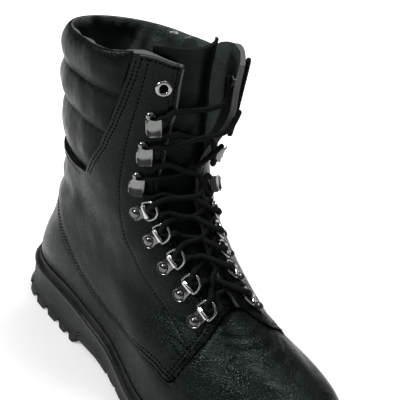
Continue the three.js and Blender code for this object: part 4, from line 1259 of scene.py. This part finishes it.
def grainGroup():
    # pebbled leather: height = cell edges + fine and wide noise + creases drawn out one way;
    # tone = wide noise
    tree, start, end = newGroup("leatherGrain", ("Place", "Scale", "Creasing"), ("Height", "Tone"))
    place = start["Place"]
    shifted = addNode(tree, "ShaderNodeMixRGB", blend_type="LINEAR_LIGHT")
    for k, value in enumerate((0.0012, place, noiseOf(tree, place, 260, output="Color"))):
        plug(tree, shifted.inputs[k], value)
    cells = addNode(tree, "ShaderNodeTexVoronoi", feature="DISTANCE_TO_EDGE")
    plug(tree, cells.inputs["Vector"], shifted.outputs[0])
    plug(tree, cells.inputs["Scale"], start["Scale"])
    soft = rangeOf(tree, cells.outputs["Distance"], 0, 0.3, 0, 1, "SMOOTHSTEP")
    wide = noiseOf(tree, place, 70, 4, 0.55)
    turned = addNode(tree, "ShaderNodeMapping", vector_type="TEXTURE", Scale=(3.2, 1.0, 0.8),
                     Rotation=(0, 0.25, 0.83))
    plug(tree, turned.inputs["Vector"], place)
    lines = noiseOf(tree, turned.outputs["Vector"], 330, 3, 0.5, distortion=0.5)
    height = mathOf(tree, "MULTIPLY_ADD", noiseOf(tree, place, 1500, 3, 0.6), 0.35, soft)
    height = mathOf(tree, "MULTIPLY_ADD", wide, 0.8, height)
    height = mathOf(tree, "MULTIPLY_ADD", mathOf(tree, "MULTIPLY", lines, start["Creasing"]), 8.0, height)
    plug(tree, end["Height"], height)
    plug(tree, end["Tone"], wide)
    return tree


def dustGroup():
    # faint dust and scuffs: patches times specks, kept where the product is high
    tree, start, end = newGroup("dustAndScuffs", ("Place",), ("Mask",))
    both = mathOf(tree, "MULTIPLY", noiseOf(tree, start["Place"], 38, 6, 0.7),
                  noiseOf(tree, start["Place"], 900))
    plug(tree, end["Mask"], rangeOf(tree, both, 0.24, 0.46, 0, 1, "SMOOTHSTEP"))
    return tree


groups = {"grain": grainGroup(), "dust": dustGroup()}


def useGroup(tree, name, **inputs):
    # a group's node with its own values
    node = addNode(tree, "ShaderNodeGroup", node_tree=groups[name])
    for key, value in inputs.items():
        plug(tree, node.inputs[key], value)
    return node.outputs


def newMaterial(name):
    # a material, its tree and shader, and its place in the object
    material = bpy.data.materials.new(name)
    material.use_nodes = True
    tree = material.node_tree
    place = addNode(tree, "ShaderNodeTexCoord").outputs["Object"]
    return material, tree, tree.nodes["Principled BSDF"], place


def paler(color, times):
    # a colour times a number
    return tuple(c * times for c in color[:3]) + (1,)


def dusty(tree, place, color, kind, amount):
    # a colour with a share of dust over it
    dust = finishes["dust"]
    mask = useGroup(tree, "dust", Place=place)["Mask"]
    return mixColor(tree, rangeOf(tree, mask, 0, 1, 0, dust[amount]), color, dust[kind])


def finishWith(tree, shader, f, color, rough, height):
    # colour, roughness and a bump are linked; the even shine is set on its own socket
    tree.links.new(color, shader.inputs["Base Color"])
    tree.links.new(rough, shader.inputs["Roughness"])
    shader.inputs["Specular IOR Level"].default_value = f["shine"]
    if f["bump"]:
        bump = addNode(tree, "ShaderNodeBump", Strength=f["bump"], Distance=f["depth"])
        tree.links.new(height, bump.inputs["Height"])
        tree.links.new(bump.outputs["Normal"], shader.inputs["Normal"])


def leatherMaterial(name, kind):
    # tone and roughness from the wide noise, dust on top, relief from the grain, and a thin coat
    f = finishes[kind]
    material, tree, shader, place = newMaterial(name)
    grain = useGroup(tree, "grain", Place=place, Scale=f["grain"], Creasing=attribute(tree, "crease"))
    tone = mixColor(tree, rangeOf(tree, grain["Tone"], 0.35, 0.7, 0, 0.6), f["color"], paler(f["color"], 1.9))
    finishWith(tree, shader, f, dusty(tree, place, tone, "leather", "onLeather"),
               rangeOf(tree, grain["Tone"], 0.38, 0.62, *f["rough"]), grain["Height"])
    shader.inputs["Coat Weight"].default_value = f["gloss"]
    shader.inputs["Coat Roughness"].default_value = finishes["coatRough"]
    shader.inputs["Specular Tint"].default_value = finishes["tint"]
    return material


def rubberMaterial():
    # dull body; painted shade darkens the channel, which is also smoother, and a painted highlight makes the
    # lip paler
    f = finishes["rubber"]
    material, tree, shader, place = newMaterial("sole rubber")
    patches = noiseOf(tree, place, 45, 5, 0.6)
    body = mixColor(tree, rangeOf(tree, patches, 0.3, 0.7, 0, 1), f["color"], paler(f["color"], 1.5))
    # painted shade in the channel and a painted highlight on the lip
    for part in ("channel", "lip"):
        body = mixColor(tree, attribute(tree, part), body, f[part])
    rough = mathOf(tree, "ADD", rangeOf(tree, patches, 0.3, 0.7, *f["rough"]),
                   rangeOf(tree, attribute(tree, "channel"), 0, 1, 0, -0.3))
    finishWith(tree, shader, f, dusty(tree, place, body, "rubber", "onRubber"), rough,
               noiseOf(tree, place, f["grain"], 4, 0.7))
    return material


def nickelMaterial():
    # worn and unworn plating, paler as a painted highlight where the piece's mask says so
    f = finishes["nickel"]
    material, tree, shader, place = newMaterial("dark nickel")
    scratch = noiseOf(tree, place, f["grain"], 4, 0.65)
    worn = rangeOf(tree, noiseOf(tree, place, 160, 3), 0.4, 0.65, 0, 1)
    color = mixColor(tree, worn, f["plain"], f["color"])
    # painted highlight: the pale colour where the piece's mask is high
    color = mixColor(tree, attribute(tree, "paintedGlint"), color, f["paintedGlint"])
    finishWith(tree, shader, f, color, rangeOf(tree, scratch, 0.3, 0.7, *f["rough"]), scratch)
    shader.inputs["Metallic"].default_value = 1.0
    return material


def fibreMaterial(name, kind):
    # braid, felt, thread or a raw leather edge: fine noise between a dark and a pale colour
    f = finishes[kind]
    material, tree, shader, place = newMaterial(name)
    fibre = noiseOf(tree, place, f["grain"], f["detail"], f["fuzz"])
    finishWith(tree, shader, f, mixColor(tree, rangeOf(tree, fibre, 0.35, 0.7, 0, 1), f["color"], f["pale"]),
               rangeOf(tree, fibre, 0.3, 0.7, *f["rough"]), fibre)
    return material


def floorMaterial():
    # a pale colour with a little noise, and more light of its own further out
    f = finishes["floor"]
    material, tree, shader, place = newMaterial("pale floor")
    color = mixColor(tree, noiseOf(tree, place, 14, 3), f["color"], f["pale"])
    plug(tree, shader.inputs["Base Color"], color)
    shader.inputs["Roughness"].default_value = f["rough"]
    shader.inputs["Emission Color"].default_value = (1, 1, 1, 1)
    far = addNode(tree, "ShaderNodeVectorMath", operation="LENGTH")
    tree.links.new(place, far.inputs[0])
    glow = rangeOf(tree, far.outputs["Value"], *f["glowReach"], *f["glow"])
    plug(tree, shader.inputs["Emission Strength"], glow)
    return material


materials = {
    "leather": leatherMaterial("full grain leather", "leather"),
    "softLeather": leatherMaterial("padded leather", "softLeather"),
    "liningLeather": leatherMaterial("lining leather", "liningLeather"),
    "rubber": rubberMaterial(), "nickel": nickelMaterial(), "cord": fibreMaterial("lace braid", "cord"),
    "threadAndShade": fibreMaterial("seam thread and edge shade", "threadAndShade"), "cutEdge": fibreMaterial("cut leather edge", "cutEdge"),
    "floor": floorMaterial(),
}
print("materials made")

buildUpper(materials)
print("upper built")
buildCollar(materials)
buildTongue(materials)
print("collar and tongue built")
buildMidsole(materials)
buildTread("heel_tread", "heel", -100, sole["heelEnd"], materials)
buildTread("outsole_tread", "outsole", sole["heelEnd"], 400, materials)
print("sole built")
buildHardware(materials)
buildLace(materials)
edgeLines(materials)
buildStitches(materials)
print("hardware, lace and stitches built")
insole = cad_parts["insole"]
insole.data.materials.clear()
insole.data.materials.append(fibreMaterial("insole felt", "cord"))

# Stage: a pale floor under soft lamps.
lamps = {
    "side": {"place": (-0.5, -1.25, 1.2), "size": 0.4, "power": 22},
    "over": {"place": (-0.1, 0.3, 1.6), "size": 0.4, "power": 15},
    "rim": {"place": (-0.5, 1.5, 0.9), "size": 0.5, "power": 1.5},
}
stage = {"half": 3, "cells": 39, "lampsAim": (0, 0, 0.12), "sunPower": 0.9, "sunAngle": 1.2,
         "worldColor": (0.95, 0.98, 0.97, 1), "worldPower": 0.16}


def addStage():
    # a level grid, square lamps that face the boot, a wide sun and an even sky
    side = stage["cells"] + 1
    x, y = np.meshgrid(*[np.linspace(-stage["half"], stage["half"], side)] * 2)
    mesh = bpy.data.meshes.new("floor")
    points = np.stack([x, y, 0 * x], axis=-1).reshape(-1, 3)
    mesh.from_pydata(points.tolist(), [], gridFaces(side, side).tolist())
    mesh.materials.append(materials["floor"])
    floor = bpy.data.objects.new("floor", mesh)
    scene.collection.objects.link(floor)
    for name, lamp in lamps.items():
        data = bpy.data.lights.new(name, "AREA")
        data.shape, data.size, data.energy = "SQUARE", lamp["size"], lamp["power"]
        light = bpy.data.objects.new(name, data)
        light.location = lamp["place"]
        aim = Vector(stage["lampsAim"]) - light.location
        light.rotation_euler = aim.to_track_quat("-Z", "Y").to_euler()
        scene.collection.objects.link(light)
    above = bpy.data.lights.new("above", "SUN")    # wide and soft, so the floor is even
    above.energy, above.angle = stage["sunPower"], stage["sunAngle"]
    scene.collection.objects.link(bpy.data.objects.new("above", above))
    world = bpy.data.worlds.new("soft studio")
    world.use_nodes = True
    world.node_tree.nodes["Background"].inputs["Color"].default_value = stage["worldColor"]
    world.node_tree.nodes["Background"].inputs["Strength"].default_value = stage["worldPower"]
    scene.world = world


addStage()
scene.view_settings.view_transform = "Standard"
print("stage set")
